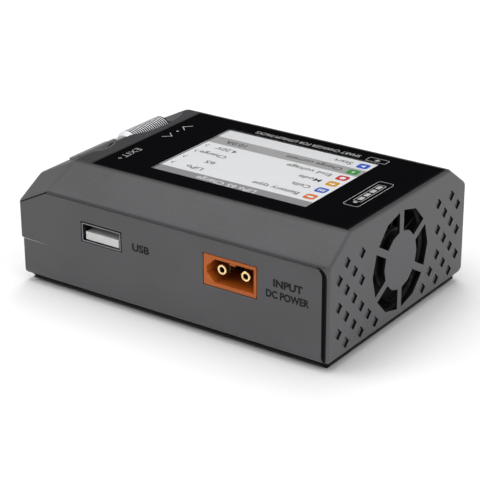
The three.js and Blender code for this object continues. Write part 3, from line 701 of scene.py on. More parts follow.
fit(glass, glass_black, slot="display_glass", stands_for=["display_glass"])

pane = rounded_block("window_pane", picture_middle, 0, 34.72, picture_width - 0.1,
                     2 * PICTURE["half_y"] - 0.1, 0.32, 0.03, 2)
clear_glass = shader("clear_glass", (1, 1, 1, 1), 0.0, Transmission_Weight=1.0, IOR=1.2)[0]
fit(pane, clear_glass, slot="display_glass")


def placed(right, up, origin):
    """Frame of a print: right and up are its reading directions, origin is where it starts, in mm."""
    right, up = Vector(right), Vector(up)
    frame_matrix = Matrix((right, up, right.cross(up))).transposed().to_4x4()
    return Matrix.Translation(origin) @ frame_matrix


def lettering(name, words, size, at, align="LEFT", depth=0.02, width=None, bold=0.0):
    """Words as a thin closed solid in mm, size being the height of a capital. width stretches them to fit."""
    curve = bpy.data.curves.new(name, "FONT")
    curve.body = words
    curve.size = size / 0.7
    curve.align_x = align
    curve.extrude = depth / 2
    curve.offset = bold
    curve.resolution_u = 4
    text = bpy.data.objects.new(name, curve)
    bpy.context.scene.collection.objects.link(text)
    mesh = bpy.data.meshes.new_from_object(text.evaluated_get(bpy.context.evaluated_depsgraph_get()))
    bpy.data.objects.remove(text)
    if width:
        span = max(v.co.x for v in mesh.vertices) - min(v.co.x for v in mesh.vertices)
        mesh.transform(Matrix.Diagonal((width / span, 1, 1, 1)))
    mesh.transform(Matrix.Scale(MM, 4) @ at)
    piece = bpy.data.objects.new(name, mesh)
    bpy.context.scene.collection.objects.link(piece)
    return piece


def join(name, pieces):
    """Makes one piece of several."""
    bm = bmesh.new()
    for piece in pieces:
        bm.from_mesh(piece.data)
        bpy.data.objects.remove(piece)
    mesh = bpy.data.meshes.new(name)
    bm.to_mesh(mesh)
    bm.free()
    joined = bpy.data.objects.new(name, mesh)
    bpy.context.scene.collection.objects.link(joined)
    return joined


def stroke(points, width, at, depth=0.02, closed=False, name="stroke"):
    """A printed line of even width through points on a print, as a closed solid."""
    points = [Vector(p) for p in points]
    count = len(points)
    left, right = [], []
    for i, point in enumerate(points):
        before = points[i - 1] if i or closed else None
        after = points[(i + 1) % count] if i < count - 1 or closed else None
        n1 = Vector((-(point - before).y, (point - before).x)).normalized() if before is not None else None
        n2 = Vector((-(after - point).y, (after - point).x)).normalized() if after is not None else None
        n1, n2 = n1 or n2, n2 or n1
        offset = (n1 + n2) * (width / 2) / (1 + n1.dot(n2))
        left.append(point + offset)
        right.append(point - offset)
    bm = bmesh.new()
    rows = [[bm.verts.new((p.x, p.y, z)) for p in side] for z, side in
            ((depth / 2, left), (depth / 2, right), (-depth / 2, right), (-depth / 2, left))]
    for i in range(count if closed else count - 1):
        j = (i + 1) % count
        for k in range(4):
            bm.faces.new((rows[k][i], rows[k][j], rows[(k + 1) % 4][j], rows[(k + 1) % 4][i]))
    if not closed:
        bm.faces.new([row[0] for row in rows])
        bm.faces.new([row[-1] for row in rows])
    return build(name, bm, at)


def filled(outline, at, depth=0.02, name="fill"):
    rings = [[Vector((p[0], p[1], z)) for p in outline] for z in (-depth / 2, depth / 2)]
    return build(name, loft(rings), at)


def round_rectangle(x, y, width, height, radius, steps=5):
    points = []
    for cx, cy, start in ((1, 1, 0), (-1, 1, pi / 2), (-1, -1, pi), (1, -1, 3 * pi / 2)):
        for k in range(steps + 1):
            turn = start + k * pi / 2 / steps
            points.append((x + cx * (width / 2 - radius) + radius * cos(turn),
                           y + cy * (height / 2 - radius) + radius * sin(turn)))
    return points


PRINT_Z = GLASS_HIGH.z + 0.005
upright = placed((1, 0, 0), (0, 1, 0), (0, 0, PRINT_Z))
key_words = placed((0, 1, 0), (-1, 0, 0), (28.6, 8.3, PRINT_Z))
bolt = [(-31.0, -19.9), (-29.7, -18.75), (-29.95, -19.6), (-29.1, -19.6), (-30.4, -20.75), (-30.15, -19.9)]
prints = [
    lettering("exit_label", "EXIT", 2.2, key_words, width=7.2, bold=-0.045),
    stroke([(27.5, 16.6), (27.5, 17.7)], 0.2, upright),
    stroke([(26.95, 17.15), (28.05, 17.15)], 0.2, upright),
    stroke([(26.4, -14.0), (28.4, -12.0), (26.4, -10.1)], 0.26, upright),
    stroke([(28.4, -6.1), (26.4, -4.2), (28.4, -2.4)], 0.26, upright),
    filled([(27.45 + 0.36 * cos(k * tau / 16), -8.3 + 0.36 * sin(k * tau / 16)) for k in range(16)], upright),
    lettering("name_line", "SMART CHARGER FOR LITHIUM PACKS", 1.75,
              placed((1, 0, 0), (0, 1, 0), (-24.7, -20.8, PRINT_Z)), width=33.5),
    stroke(round_rectangle(-30.1, -19.75, 6, 2.7, 0.5), 0.16, upright, closed=True),
    filled(bolt, upright),
    stroke(round_rectangle(-40.35, 1.75, 4.5, 18.1, 0.9), 0.15, upright, closed=True),
]
# Gauge mark: a battery outline with four charge bars, drawn along +Y
prints.append(stroke(round_rectangle(-40.35, 1.2, 2.3, 12.6, 0.4), 0.16, upright, closed=True))
prints.append(filled(round_rectangle(-40.35, 8.3, 1.1, 0.8, 0.2, 2), upright))
for k in range(4):
    prints.append(filled(round_rectangle(-40.35, -3.35 + 2.9 * k, 1.3, 2.1, 0.15, 2), upright))
white_ink = patchy("white_ink", srgb(165), 0.5, 4000.0, tones=(srgb(150), srgb(180)))
fit(join("glass_prints", prints), white_ink, slot="lcd_white")

# ---------------------------------------------------------------------------------------------
# Colour display. A 2.4 inch panel behind the window, lit from behind: a title bar, six rows with
# coloured tiles, names and values, one row chosen. The picture is layers a hundredth of a mm apart.
# ---------------------------------------------------------------------------------------------
LAYER, PAST_WINDOW = 0.012, 0.3
PICTURE_EDGE = PICTURE["half_y"] + PAST_WINDOW


def lit(name, level, strength=1.0):
    """A glowing layer of the picture, with the faint dots of the display's cells."""
    material, tree, surface = shader(name, (0, 0, 0, 1), 0.4, Specular_IOR_Level=0.1)
    dots = add(tree, "TexChecker", (("Vector", add(tree, "TexCoord").outputs["Object"]), ("Scale", 6530.0)))
    dim = [c * 0.94 for c in level[:3]] + [1]
    tree.links.new(tint(tree, dim, level, dots.outputs["Fac"]), surface.inputs["Emission Color"])
    surface.inputs["Emission Strength"].default_value = strength
    return material


def layer(name, y0, y1, rank, level):
    """A lit stripe across the whole picture, on its rank of layers."""
    z = PICTURE["z"] + rank * LAYER
    left, right = PICTURE["x0"] - PAST_WINDOW, PICTURE["x1"] + PAST_WINDOW
    piece = build(name, box(left, right, y0, y1, z - LAYER * 0.8, z))
    return fit(piece, lit(name + "_light", level), slot="lcd_white")


def on_picture(rank, x=0, y=0):
    return placed((1, 0, 0), (0, 1, 0), (x, y, PICTURE["z"] + rank * LAYER))


panel = layer("picture_ground", -PICTURE_EDGE, PICTURE_EDGE, 0, srgb(240, 241, 243))
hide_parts("lcd_panel")
layer("picture_title", 13.6, PICTURE_EDGE, 1, srgb(150, 150, 152))
layer("picture_chosen_row", -12.4, -7.5, 1, srgb(172, 172, 172))
layer("picture_start_row", -PICTURE_EDGE, -12.4, 1, srgb(234, 235, 237))

ROWS = (  # height, name and its length, value and its length, tile colour
    (10.7, "Battery type", 14.2, "LiPo", 5.2, (224, 122, 60)),
    (5.4, "Cells", 5.6, "6S", 2.9, (48, 96, 190)),
    (0.2, "Mode", 6.8, "Charge", 8.7, (220, 162, 50)),
    (-4.7, "End voltage", 13.8, "4.20V", 6.7, (206, 54, 60)),
    (-9.9, "Charge current", 17.6, "10.0A", 6.5, (62, 150, 66)),
    (-15.0, "Start", 5.6, "", 0, (46, 92, 200)),
)
TILE = 3.3
ICON_X, NAME_X, VALUE_X, ARROW_X = -28.6, -25.2, 4.8, 14.4
dark_words, glyphs = [], []
signs = {
    0: [round_rectangle(-0.1, 0, 1.6, 1.0, 0.15, 2), round_rectangle(0.95, 0, 0.3, 0.5, 0.1, 2)],
    1: [round_rectangle(dx, 0, 0.42, 1.5, 0.1, 2) for dx in (-0.7, 0, 0.7)],
    2: [[(-0.9, 0.1), (-0.1, 0.9), (-0.1, 0.35), (0.9, 0.35), (0.9, -0.15), (-0.1, -0.15), (-0.1, -0.7)]],
    3: [[(0.85 * cos(k * tau / 14), 0.85 * sin(k * tau / 14)) for k in range(14)]],
    4: [[(-0.55, -0.1), (0.25, 0.95), (0.05, 0.15), (0.55, 0.15), (-0.25, -0.95), (-0.05, -0.1)]],
    5: [[(-0.5, 0.8), (0.8, 0), (-0.5, -0.8)]],
}
for number, (y, row_name, name_length, value, value_length, colour) in enumerate(ROWS):
    tile_outline = round_rectangle(ICON_X, y, TILE, TILE, 0.8)
    tile = filled(tile_outline, on_picture(2), LAYER, f"picture_tile_{number + 1}")
    fit(tile, lit(f"tile_{number + 1}_light", srgb(*colour)), slot="lcd_white")
    for outline in signs[number]:
        points = [(ICON_X + dx, y + dy) for dx, dy in outline]
        if len(points) in (6, 7):
            bm = bmesh.new()
            bm.faces.new([bm.verts.new((*p, 0)) for p in points])
            raised = bmesh.ops.extrude_face_region(bm, geom=bm.faces[:])
            lifted = [g for g in raised["geom"] if isinstance(g, bmesh.types.BMVert)]
            bmesh.ops.translate(bm, verts=lifted, vec=(0, 0, LAYER))
            glyphs.append(build("glyph", bm, on_picture(2.6)))
        else:
            glyphs.append(filled(points, on_picture(3), LAYER))
    at = on_picture(2.5, NAME_X, y - 0.9)
    dark_words.append(lettering("name", row_name, 1.9, at, depth=LAYER, width=name_length, bold=0.01))
    if value:
        at = on_picture(2.5, VALUE_X, y - 0.85)
        dark_words.append(lettering("value", value, 1.9, at, depth=LAYER, width=value_length, bold=0.01))
    if number < 4:
        arrow = [(ARROW_X, y + 0.75), (ARROW_X + 0.75, y), (ARROW_X, y - 0.75)]
        dark_words.append(stroke(arrow, 0.22, on_picture(2.5), LAYER))
title = lettering("picture_title_words", "LiPo 6S Charge", 2.0, on_picture(2.5, picture_middle + 1.6, 15.0),
                  align="CENTER", depth=LAYER, width=18.6, bold=0.01)
fit(title, lit("title_words_light", srgb(236)), slot="lcd_white")
fit(join("picture_words", dark_words), lit("words_light", srgb(26, 28, 32)), slot="lcd_white")
fit(join("picture_signs", glyphs), lit("signs_light", srgb(245)), slot="lcd_white")

# ---------------------------------------------------------------------------------------------
# Power sockets. Glass-filled nylon housings moulded in orange, one on the supply wall and its twin
# on the output wall, soldered to the board. Each holds two gold-plated tube contacts.
# ---------------------------------------------------------------------------------------------
POWER_PIN = {"pitch": 7.2, "r": 1.75, "bore": 0.74, "recess": 1.8, "length": 14}
SOCKET_DEPTH = 14
SOCKET_FACE, MOUTH_DEPTH = HALF_WIDTH - 0.1, 10
orange_nylon = plastic("orange_nylon", srgb(172, 86, 26), 0.48, grain_per_mm=5, bump=0.06, rub=0.2, dusty=0.0,
                       Specular_IOR_Level=0.3)
socket_insert = shadowed("socket_insert", srgb(34, 20, 14), 0.6, 0.2)
shaft_painted_shade = shader("shaft_painted_shade", srgb(84, 62, 30), 0.4, Metallic=0.6)[0]
gold = patchy("gold_plating", srgb(240, 205, 130), 0.2, 500.0, 4.0, glosses=(0.14, 0.3), Metallic=1.0,
              tones=(srgb(250, 230, 184), srgb(240, 206, 140)))


def socket_cavity(port, side, width, height, chamfer):
    """The keyed opening, drawn on its wall, with the two cut corners on the left as seen from outside."""
    w, h, c = width / 2, height / 2, chamfer
    points = [(-w, -h), (w - c, -h), (w, -h + c), (w, h - c), (w - c, h), (-w, h)]
    return [(-side * port["x"] - u, port["z"] + v) for u, v in points]


for side, name in ((1, "input"), (-1, "output")):
    across, up = (-side, 0, 0), (0, 0, 1)
    middle = SOCKET_FACE - (SOCKET_DEPTH - 0.1) / 2
    housing = rounded_block(f"{name}_housing", POWER["x"], side * middle, POWER["z"], POWER["width"],
                            SOCKET_DEPTH - 0.1, POWER["height"], fillet=0.2, vertical=0.2)
    mouth = socket_cavity(POWER, side, 14.2, 6.4, 2.4)
    cuts = [wall_cutter("mouth", mouth, SOCKET_FACE, MOUTH_DEPTH, across, up, lip=0.18)]
    for pole in (-0.5, 0.5):
        x = POWER["x"] + pole * POWER_PIN["pitch"]
        cuts.append(rod("pin_hole", 2.05, 0, 20, axis="Y", at=(x, side * 25 - 10, POWER["z"])))
    carve(housing, cuts)
    tab = rounded_block("key_tab", POWER["x"] - 0.5, side * (middle + 2), POWER["z"] + 3.3, 1.8, 9, 1.6,
                        fillet=0.12)
    carve(housing, [tab], "UNION")
    # Painted shade: the back wall deep in the mouth gets finish 1, a dark brown
    for polygon in housing.data.polygons:
        sunk = side * polygon.center.y / MM < SOCKET_FACE - MOUTH_DEPTH + 0.2
        if sunk and side * polygon.normal.y > 0.9:
            polygon.material_index = 1
    smooth(housing)
    fit(housing, orange_nylon, socket_insert, slot="socket_orange", stands_for=[f"{name}_socket"])
    for number, pole in ((1, -0.5), (2, 0.5)):
        r, bore, tip = POWER_PIN["r"], POWER_PIN["bore"], HALF_WIDTH - POWER_PIN["recess"]
        back = tip - POWER_PIN["length"]
        profile = [(0, back), (r, back), (r, tip - 1.5), (1.46, tip - 1.1), (1.42, tip - 0.35),
                   (1.34, tip - 0.06), (1.26, tip), (bore + 0.08, tip), (bore, tip - 0.12),
                   (bore, tip - 7), (0, tip - 7)]
        profile = [(radius, side * y) for radius, y in profile]
        pin = turned(f"{name}_contact_{number}", profile, steps=56, axis="Y",
                     at=(POWER["x"] + pole * POWER_PIN["pitch"], 0, POWER["z"]))
        # Painted shade: the shaft behind the tip gets finish 1, a dark dull gold
        for polygon in pin.data.polygons:
            if side * polygon.center.y / MM < tip - 0.4:
                polygon.material_index = 1
        smooth(pin)
        fit(pin, gold, shaft_painted_shade, slot="contact_gold", stands_for=[f"{name}_pin_{number}"])

# ---------------------------------------------------------------------------------------------
# USB supply socket. A folded, nickel-plated steel shell with a rolled lip and spring tabs, round a
# pale plastic tongue that carries four contact blades.
# ---------------------------------------------------------------------------------------------
USB_DEPTH = 13.9
usb_steel = patchy("nickel_plating", srgb(118, 119, 122), 0.36, 1.0, 3.0, stretch=(300.0, 4000.0, 4000.0),
                   tones=(srgb(104, 105, 108), srgb(132, 133, 136)), glosses=(0.22, 0.42), Metallic=1.0)


def folded_sleeve(name, x, z, width, height, near, far, sheet, fillet=0.3):
    """A sleeve folded from sheet, from near to far behind the supply wall."""
    rings = []
    for depth, grow in ((near, 0), (near + 0.5, 0), (far, 0),
                        (far, -sheet), (near + 0.5, -sheet), (near, -sheet)):
        outline = round_rectangle(-x, z, width + 2 * grow, height + 2 * grow, max(0.08, fillet + grow), 4)
        rings.append([(-across, HALF_WIDTH - depth, up) for across, up in outline])
    bm = bmesh.new()
    made = [[bm.verts.new(point) for point in ring] for ring in rings]
    for near_ring, far_ring in zip(made, made[1:] + made[:1]):
        for i in range(len(near_ring)):
            j = (i + 1) % len(near_ring)
            bm.faces.new((near_ring[i], near_ring[j], far_ring[j], far_ring[i]))
    return build(name, bm)


SPRING_ACROSS, SPRING_HALF, SPRING_THICK = 3.1, 0.75, 0.13
sleeve = folded_sleeve("usb_sleeve", USB["x"], USB["z"], USB["width"] - 0.6, USB["height"] - 0.6,
                       0.1, USB_DEPTH, 0.32)
windows = []
for x in (-SPRING_ACROSS, SPRING_ACROSS):
    windows.append(rounded_block("spring_window", USB["x"] + x, HALF_WIDTH - 5, USB["z"], 1.9, 4.4, 8, 0.1))
carve(sleeve, windows)
springs = [sleeve]
for x in (-SPRING_ACROSS, SPRING_ACROSS):
    rings = []
    for depth, sink in ((7.2, 0.0), (5.6, -0.2), (4.4, -0.42), (3.8, -0.2)):
        z = USB["z"] + USB["height"] / 2 - 0.46 + sink
        rings.append([(USB["x"] + x + dx * SPRING_HALF, HALF_WIDTH - depth, z + dz * SPRING_THICK)
                      for dx, dz in ((-1, -1), (1, -1), (1, 1), (-1, 1))])
    springs.append(build("spring", loft(rings)))
for x in (-6.15, 6.15):
    for y in (HALF_WIDTH - 11, HALF_WIDTH - 5):
        springs.append(rounded_block("leg", USB["x"] + x, y, 16.0, 0.5, 2, 2.6, fillet=0.08))
usb_shell = join("usb_socket_shell", springs)
smooth(usb_shell, 40)
fit(usb_shell, usb_steel, slot="usb_steel", stands_for=["usb_shell"])

TONGUE = {"x": USB["x"] - 0.04, "low": 17.6, "width": 11.0, "height": 2.3}
tongue_high = TONGUE["low"] + TONGUE["height"]
tongue = rounded_block("usb_socket_tongue", TONGUE["x"], HALF_WIDTH - 6.9,
                       TONGUE["low"] + TONGUE["height"] / 2, TONGUE["width"], 12.8, TONGUE["height"],
                       fillet=0.12)
stop_block = rounded_block("tongue_root", USB["x"], HALF_WIDTH - 12, USB["z"], 11.6, 3, 4.2, fillet=0.1)
carve(tongue, [stop_block], "UNION")
smooth(tongue)
tongue_plastic = plastic("tongue_plastic", srgb(202, 202, 201), 0.4, grain_per_mm=6, bump=0.05,
                         rub=0.0, dusty=0.0)
fit(tongue, tongue_plastic, slot="pale_plastic", stands_for=["usb_tongue"])
blades = []
for i in range(4):
    x = TONGUE["x"] + (i - 1.5) * 2.3
    blades.append(rounded_block("blade", x, HALF_WIDTH - 7.4, tongue_high + 0.04, 1.0, 6.2, 0.16,
                                fillet=0.05))
fit(join("usb_socket_blades", blades), gold, slot="contact_gold")

# ---------------------------------------------------------------------------------------------
# Balance and signal sockets on the output wall. Pin headers moulded in pale and black nylon with
# keying slots in their top wall, and square gold-plated pins bent down to the board.
# ---------------------------------------------------------------------------------------------
pale_nylon = plastic("pale_nylon", srgb(205, 203, 196), 0.42, grain_per_mm=5, bump=0.06, rub=0.0, dusty=0.05)
black_nylon = plastic("black_nylon", srgb(26, 26, 27), 0.45, grain_per_mm=5, bump=0.08, rub=0.4, dusty=0.05)
HEADER_WALL, HEADER_DEPTH, PIN_HALF = 0.8, 8.9, 0.32
balance_keyways = [(-6.3, 3, 1.4, 7, 1.6), (6.3, 3, 1.4, 7, 1.6)]
signal_keyways = [(-2.54, 2, 0.9, 6, 1.2)]
for name, port, nylon, colour_slot, keyways in (
        ("balance", BALANCE, pale_nylon, "pale_plastic", balance_keyways),
        ("signal", SIGNAL, black_nylon, "black_plastic", signal_keyways)):
    header = rounded_block(f"{name}_header", port["x"], -(SOCKET_FACE - HEADER_DEPTH / 2), port["z"],
                           port["width"], HEADER_DEPTH, port["height"], fillet=0.2)
    mouth = rectangle(port["x"], port["z"], port["width"] - 2 * HEADER_WALL, port["height"] - 2 * HEADER_WALL)
    cuts = [wall_cutter("mouth", mouth, SOCKET_FACE, HEADER_DEPTH - 2.2, (1, 0, 0), (0, 0, 1), lip=0.15)]
    for x, z, *size in keyways:
        cuts.append(rounded_block("keyway", port["x"] + x, -HALF_WIDTH, port["z"] + z, *size, fillet=0.1))
    hole = 2 * PIN_HALF + 0.2
    for i in range(port["count"]):
        x = port["x"] + (i - (port["count"] - 1) / 2) * port["pitch"]
        cuts.append(rounded_block("pin_hole", x, -28, port["z"], hole, 30, hole, fillet=0.03))
    carve(header, cuts)
    smooth(header)
    fit(header, nylon, slot=colour_slot, stands_for=[f"{name}_socket"])
    for i in range(port["count"]):
        x = port["x"] + (i - (port["count"] - 1) / 2) * port["pitch"]
        tip, bend = -(HALF_WIDTH - 1.6), -(HALF_WIDTH - 11)
        line = (((tip, 0), 0.14, 0), ((tip + 0.5, 0), PIN_HALF, 0), ((bend - 1.2, 0), PIN_HALF, 0),
                ((bend - 0.62, -0.2), PIN_HALF, 0.35), ((bend - 0.36, -0.75), PIN_HALF, 0.9),
                ((bend - 0.32, -1.4), PIN_HALF, pi / 2), ((bend - 0.32, -4.2), PIN_HALF * 0.9, pi / 2))
        rings = []
        for (along, down), half, turn in line:
            z = port["z"] + down
            rings.append([(x + dx * half, along + dz * half * sin(turn), z + dz * half * cos(turn))
                          for dx, dz in ((-1, -1), (1, -1), (1, 1), (-1, 1))])
        pin = build(f"{name}_contact_{i + 1}", loft(rings))
        smooth(pin)
        fit(pin, gold, slot="contact_gold", stands_for=[f"{name}_pin_{i + 1}"])

# ---------------------------------------------------------------------------------------------
# Wall labels. Plain black pad printing beside the sockets, a few hundredths of a millimetre thick.
# ---------------------------------------------------------------------------------------------
LABEL_DEPTH = 0.03


def wall_label(words, side, x, z, height, width):
    """A word on a long wall; x is where it starts and z its foot."""
    at = placed((-side, 0, 0), (0, 0, 1), (x, side * (HALF_WIDTH + 0.005), z))
    return lettering("label", words, height, at, depth=LABEL_DEPTH, width=width, bold=0.11)


labels = [
    wall_label("USB", 1, 10.6, 18.55, 1.95, 5.6),
    wall_label("INPUT", 1, -33.1, 19.9, 1.9, 8.6),
    wall_label("DC POWER", 1, -31.0, 16.75, 1.9, 12.6),
    wall_label("OUTPUT", -1, -25.0, 24.6, 1.9, 9.6),
    wall_label("BALANCE", -1, -0.6, 23.2, 1.7, 11.2),
    wall_label("SIGNAL", -1, 23.9, 23.2, 1.7, 8.2),
]
black_ink = patchy("black_ink", srgb(12), 0.6, 4000.0, tones=(srgb(8), srgb(18)), Specular_IOR_Level=0.2)
fit(join("wall_labels", labels), black_ink)

# ---------------------------------------------------------------------------------------------
# Roller. Turned from aluminium with fine knurled rings and chamfered ends, on a steel axle that
# runs in a yoke. Pressing the roller pushes the whole yoke down on to its switch.
# ---------------------------------------------------------------------------------------------
ROLLER_AXLE, RING_PITCH, RING_DEEP = 0.9, 0.85, 0.75
half = ROLLER["length"] / 2
count = int((ROLLER["length"] - 1.8) / RING_PITCH)
first = -count * RING_PITCH / 2
profile = [(ROLLER_AXLE + GAP, -half), (ROLLER["r"] - 0.9, -half), (ROLLER["r"] - 0.05, first - 0.12)]
for k in range(count):
    start = first + k * RING_PITCH
    profile += [(ROLLER["r"] - RING_DEEP, start + 0.06), (ROLLER["r"] - RING_DEEP, start + 0.42),
                (ROLLER["r"] - 0.06, start + 0.5), (ROLLER["r"], start + 0.56), (ROLLER["r"], start + 0.76),
                (ROLLER["r"] - 0.06, start + 0.82)]
profile += [(ROLLER["r"] - 0.9, half), (ROLLER_AXLE + GAP, half)]
roller_place = BAND @ Matrix.Translation((ROLLER["s"], ROLLER["y"], ROLLER["h"]))
wheel = turned("roller_wheel", profile, steps=96, axis="Y", matrix=roller_place)
axis_from = roller_place.inverted()
for polygon in wheel.data.polygons:
    spot = axis_from @ (polygon.center / MM)
    if Vector((spot.x, spot.z)).length < ROLLER["r"] - 0.15 and abs(spot.y) < -first + 0.3:
        polygon.material_index = 1
smooth(wheel, 30)
roller_metal = patchy("roller_aluminium", srgb(225, 226, 229), 0.42, 700.0, 4.0, glosses=(0.34, 0.5),
                      tones=(srgb(214, 215, 218), srgb(234, 235, 238)), Metallic=0.25)
ring_shadow = shadowed("ring_shadow", srgb(14, 14, 15), 0.6, 0.1)
fit(wheel, roller_metal, ring_shadow, body="roller", slot="roller_metal", stands_for=["roller"])

# ---------------------------------------------------------------------------------------------
# Exit key. A long moulded cap with a hollow for the fingertip, held under the shell by its flange,
# with a stem that reaches the switch on the control board.
# ---------------------------------------------------------------------------------------------
KEY_DISH = {"radius": 8, "deep": 0.2}
key_place = BAND @ Matrix.Translation((KEY["s"], KEY["y"], 0))
KEY_SKIRT, FLANGE_MARGIN = 2.4, 0.8
key = rounded_block("exit_key_cap", 0, 0, (KEY["proud"] - KEY_SKIRT) / 2, KEY["width"], KEY["length"],
                    KEY["proud"] + KEY_SKIRT, fillet=0.4, segments=4, vertical=0.9, at=key_place)
dish_height = KEY["proud"] - KEY_DISH["deep"] + KEY_DISH["radius"]
carve(key, [rod("dish", KEY_DISH["radius"], -9, 9, 180, "Y", (0, 0, dish_height), key_place)])
flange = rounded_block("flange", 0, 0, -2.75, KEY["width"] + 2 * FLANGE_MARGIN,
                       KEY["length"] + 2 * FLANGE_MARGIN, 1.3, 0.2, vertical=0.5, at=key_place)
stem_shape = ((0, -8.8), (1.35, -8.8), (1.5, -8.6), (1.5, -2.6), (0, -2.6))
stem = turned("stem", stem_shape, axis="Z", matrix=key_place)
carve(key, [flange, stem], "UNION")
smooth(key)
key_plastic = plastic("key_plastic", srgb(116, 115, 117), 0.48, grain_per_mm=4.5, bump=0.1, rub=0.9)
fit(key, key_plastic, body="exit_key", slot="key_grey", stands_for=["exit_key"])

# Painted highlight: a thin lighter stroke along the lip of the scoop beside the key, at the flat top
(centre_s, centre_y, centre_h), (radius_s, radius_y, radius_h) = KEY_SCOOP
lip = []
for k in range(25):
    y = centre_y + 0.84 * radius_y * cos(k * pi / 24)
    square = (cos(BAND_TILT) / radius_s) ** 2 + (sin(BAND_TILT) / radius_h) ** 2
    linear = -2 * (cos(BAND_TILT) * centre_s / radius_s ** 2 + sin(BAND_TILT) * centre_h / radius_h ** 2)
    rest = (centre_s / radius_s) ** 2 + (centre_h / radius_h) ** 2 + ((y - centre_y) / radius_y) ** 2 - 1
    reach = (-linear - (linear ** 2 - 4 * square * rest) ** 0.5) / (2 * square)
    lip.append((END_BAND_TOP_X - 0.1 + reach, y))
scoop_lip_highlight = stroke(lip, 0.22, placed((1, 0, 0), (0, 1, 0), (0, 0, HEIGHT)), 0.03, name="scoop_lip_highlight")
fit(scoop_lip_highlight, key_plastic)

# ---------------------------------------------------------------------------------------------
# Cooling fan. A square frame and a seven-bladed rotor moulded in black, screwed behind the grille,
# drawing air from the slots in the base and blowing it out of the end.
# ---------------------------------------------------------------------------------------------
FAN = {"x0": -47.1, "half": 14.9, "deep": 10, "bore": 14, "flare": 14.45, "hub": 8, "tip": 13.4, "blades": 7}
fan_black = plastic("fan_black", srgb(20, 20, 21), 0.5, grain_per_mm=4, bump=0.08, rub=0.5, dusty=0.3)
x0, x1 = FAN["x0"], FAN["x0"] + FAN["deep"]
duct = rounded_block("fan_duct", (x0 + x1) / 2, 0, FAN_Z, FAN["deep"], 2 * FAN["half"], 2 * FAN["half"], 0.3)
bore = ((0, x0 - 1), (FAN["flare"], x0 - 1), (FAN["flare"], x0), (FAN["bore"], x0 + 0.7),
        (FAN["bore"], x1 - 0.7), (FAN["flare"], x1), (FAN["flare"], x1 + 1), (0, x1 + 1))
cuts = [turned("bore", bore, 96, "X", (0, 0, FAN_Z))]
for y in (-12.2, 12.2):
    for z in (-12.2, 12.2):
        cuts.append(rod("mount_hole", 1.5, x0 - 1, x1 + 1, 24, "X", (0, y, FAN_Z + z)))
carve(duct, cuts)
motor_shape = ((0, x1 - 1.2), (8.2, x1 - 1.2), (8.4, x1 - 1), (8.4, x1 - 0.1), (8.3, x1), (0, x1))
motor = turned("motor", motor_shape, 64, "X", (0, 0, FAN_Z))
struts = [rounded_block("strut", x1 - 0.6, 0, FAN_Z, 1.2, 2 * FAN["half"] - 0.4, 1.8, 0.2),
          rounded_block("strut", x1 - 0.6, 0, FAN_Z, 1.2, 1.8, 2 * FAN["half"] - 0.4, 0.2)]
carve(duct, [motor, *struts], "UNION")
smooth(duct)
fit(duct, fan_black, slot="black_plastic", stands_for=["fan_frame"])

front, rear = x0 + 0.5, x1 - 1.6
hub_shape = ((0, rear), (FAN["hub"], rear), (FAN["hub"], front + 0.6), (FAN["hub"] - 0.18, front + 0.18),
             (FAN["hub"] - 0.6, front), (3.2, front), (3.0, front + 0.25), (0, front + 0.25))
rotor = turned("fan_rotor_wheel", hub_shape, 96, "X", (0, 0, FAN_Z))
blade_pieces = []
for k in range(FAN["blades"]):
    rings = []
    for i in range(7):
        radius = FAN["hub"] - 0.4 + (FAN["tip"] - FAN["hub"] + 0.4) * i / 6
        sweep = 0.12 * i / 6
        row = []
        for j in range(9):
            share = j / 8
            x = front + 0.5 + (rear - front - 1.0) * share
            turn = k * tau / FAN["blades"] + sweep + 0.62 * share - 0.14 * sin(pi * share)
            row.append((x, turn))
        skin = [(x - 0.28 * cos(pi * (j / 8 - 0.5)) - 0.05, turn + 0.02) for j, (x, turn) in enumerate(row)]
        under = [(x + 0.28 * cos(pi * (j / 8 - 0.5)) + 0.05, turn - 0.02) for j, (x, turn) in enumerate(row)]
        rings.append([(x, -radius * sin(turn), FAN_Z + radius * cos(turn)) for x, turn in skin + under[::-1]])
    blade_pieces.append(build("blade", loft(rings)))
carve(rotor, blade_pieces, "UNION")
smooth(rotor, 40)
fit(rotor, fan_black, body="fan", slot="black_plastic", stands_for=["fan_rotor"])

# ---------------------------------------------------------------------------------------------
# Inside the case. Boards, heat sink, coils, capacitors, chip, buzzer, switches and the display's
# tray and ribbon keep their shapes and get their finishes here.
# ---------------------------------------------------------------------------------------------


def dress(nodes, material):
    """Gives a finish to CAD nodes that keep their own shape."""
    for node in nodes:
        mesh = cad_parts[node].data
        mesh.materials.clear()
        mesh.materials.append(material)


board, tree, surface = shader("board_laminate", srgb(24, 74, 50), 0.38)
place = add(tree, "TexCoord").outputs["Object"]
tracks = add(tree, "TexBrick", (("Vector", place), ("Scale", 320.0), ("Mortar Size", 0.03)))
lacquer = tint(tree, srgb(20, 66, 44), srgb(34, 92, 62), noise(tree, 1800.0))
tree.links.new(tint(tree, lacquer, srgb(42, 108, 74), tracks.outputs["Fac"]), surface.inputs["Base Color"])
dress(["main_board", "control_board"], board)

aluminium = patchy("extruded_aluminium", srgb(196, 198, 201), 0.36, 1.0, stretch=(100.0, 3000.0, 3000.0),
                   glosses=(0.28, 0.48), Metallic=1.0)
dress(["heat_sink"], aluminium)
dress([f"capacitor_{k}" for k in (1, 2, 3, 4)], aluminium)
dress(["lcd_tray", "roller_axle"], screw_steel)

ferrite = plastic("pressed_ferrite", srgb(56, 56, 58), 0.7, grain_per_mm=6, bump=0.3, rub=0.3)
dress(["inductor_1", "inductor_2"], ferrite)
dress(["controller_chip", "buzzer", "roller_switch", "exit_switch", "roller_sensor", "roller_carriage"],
      black_nylon)

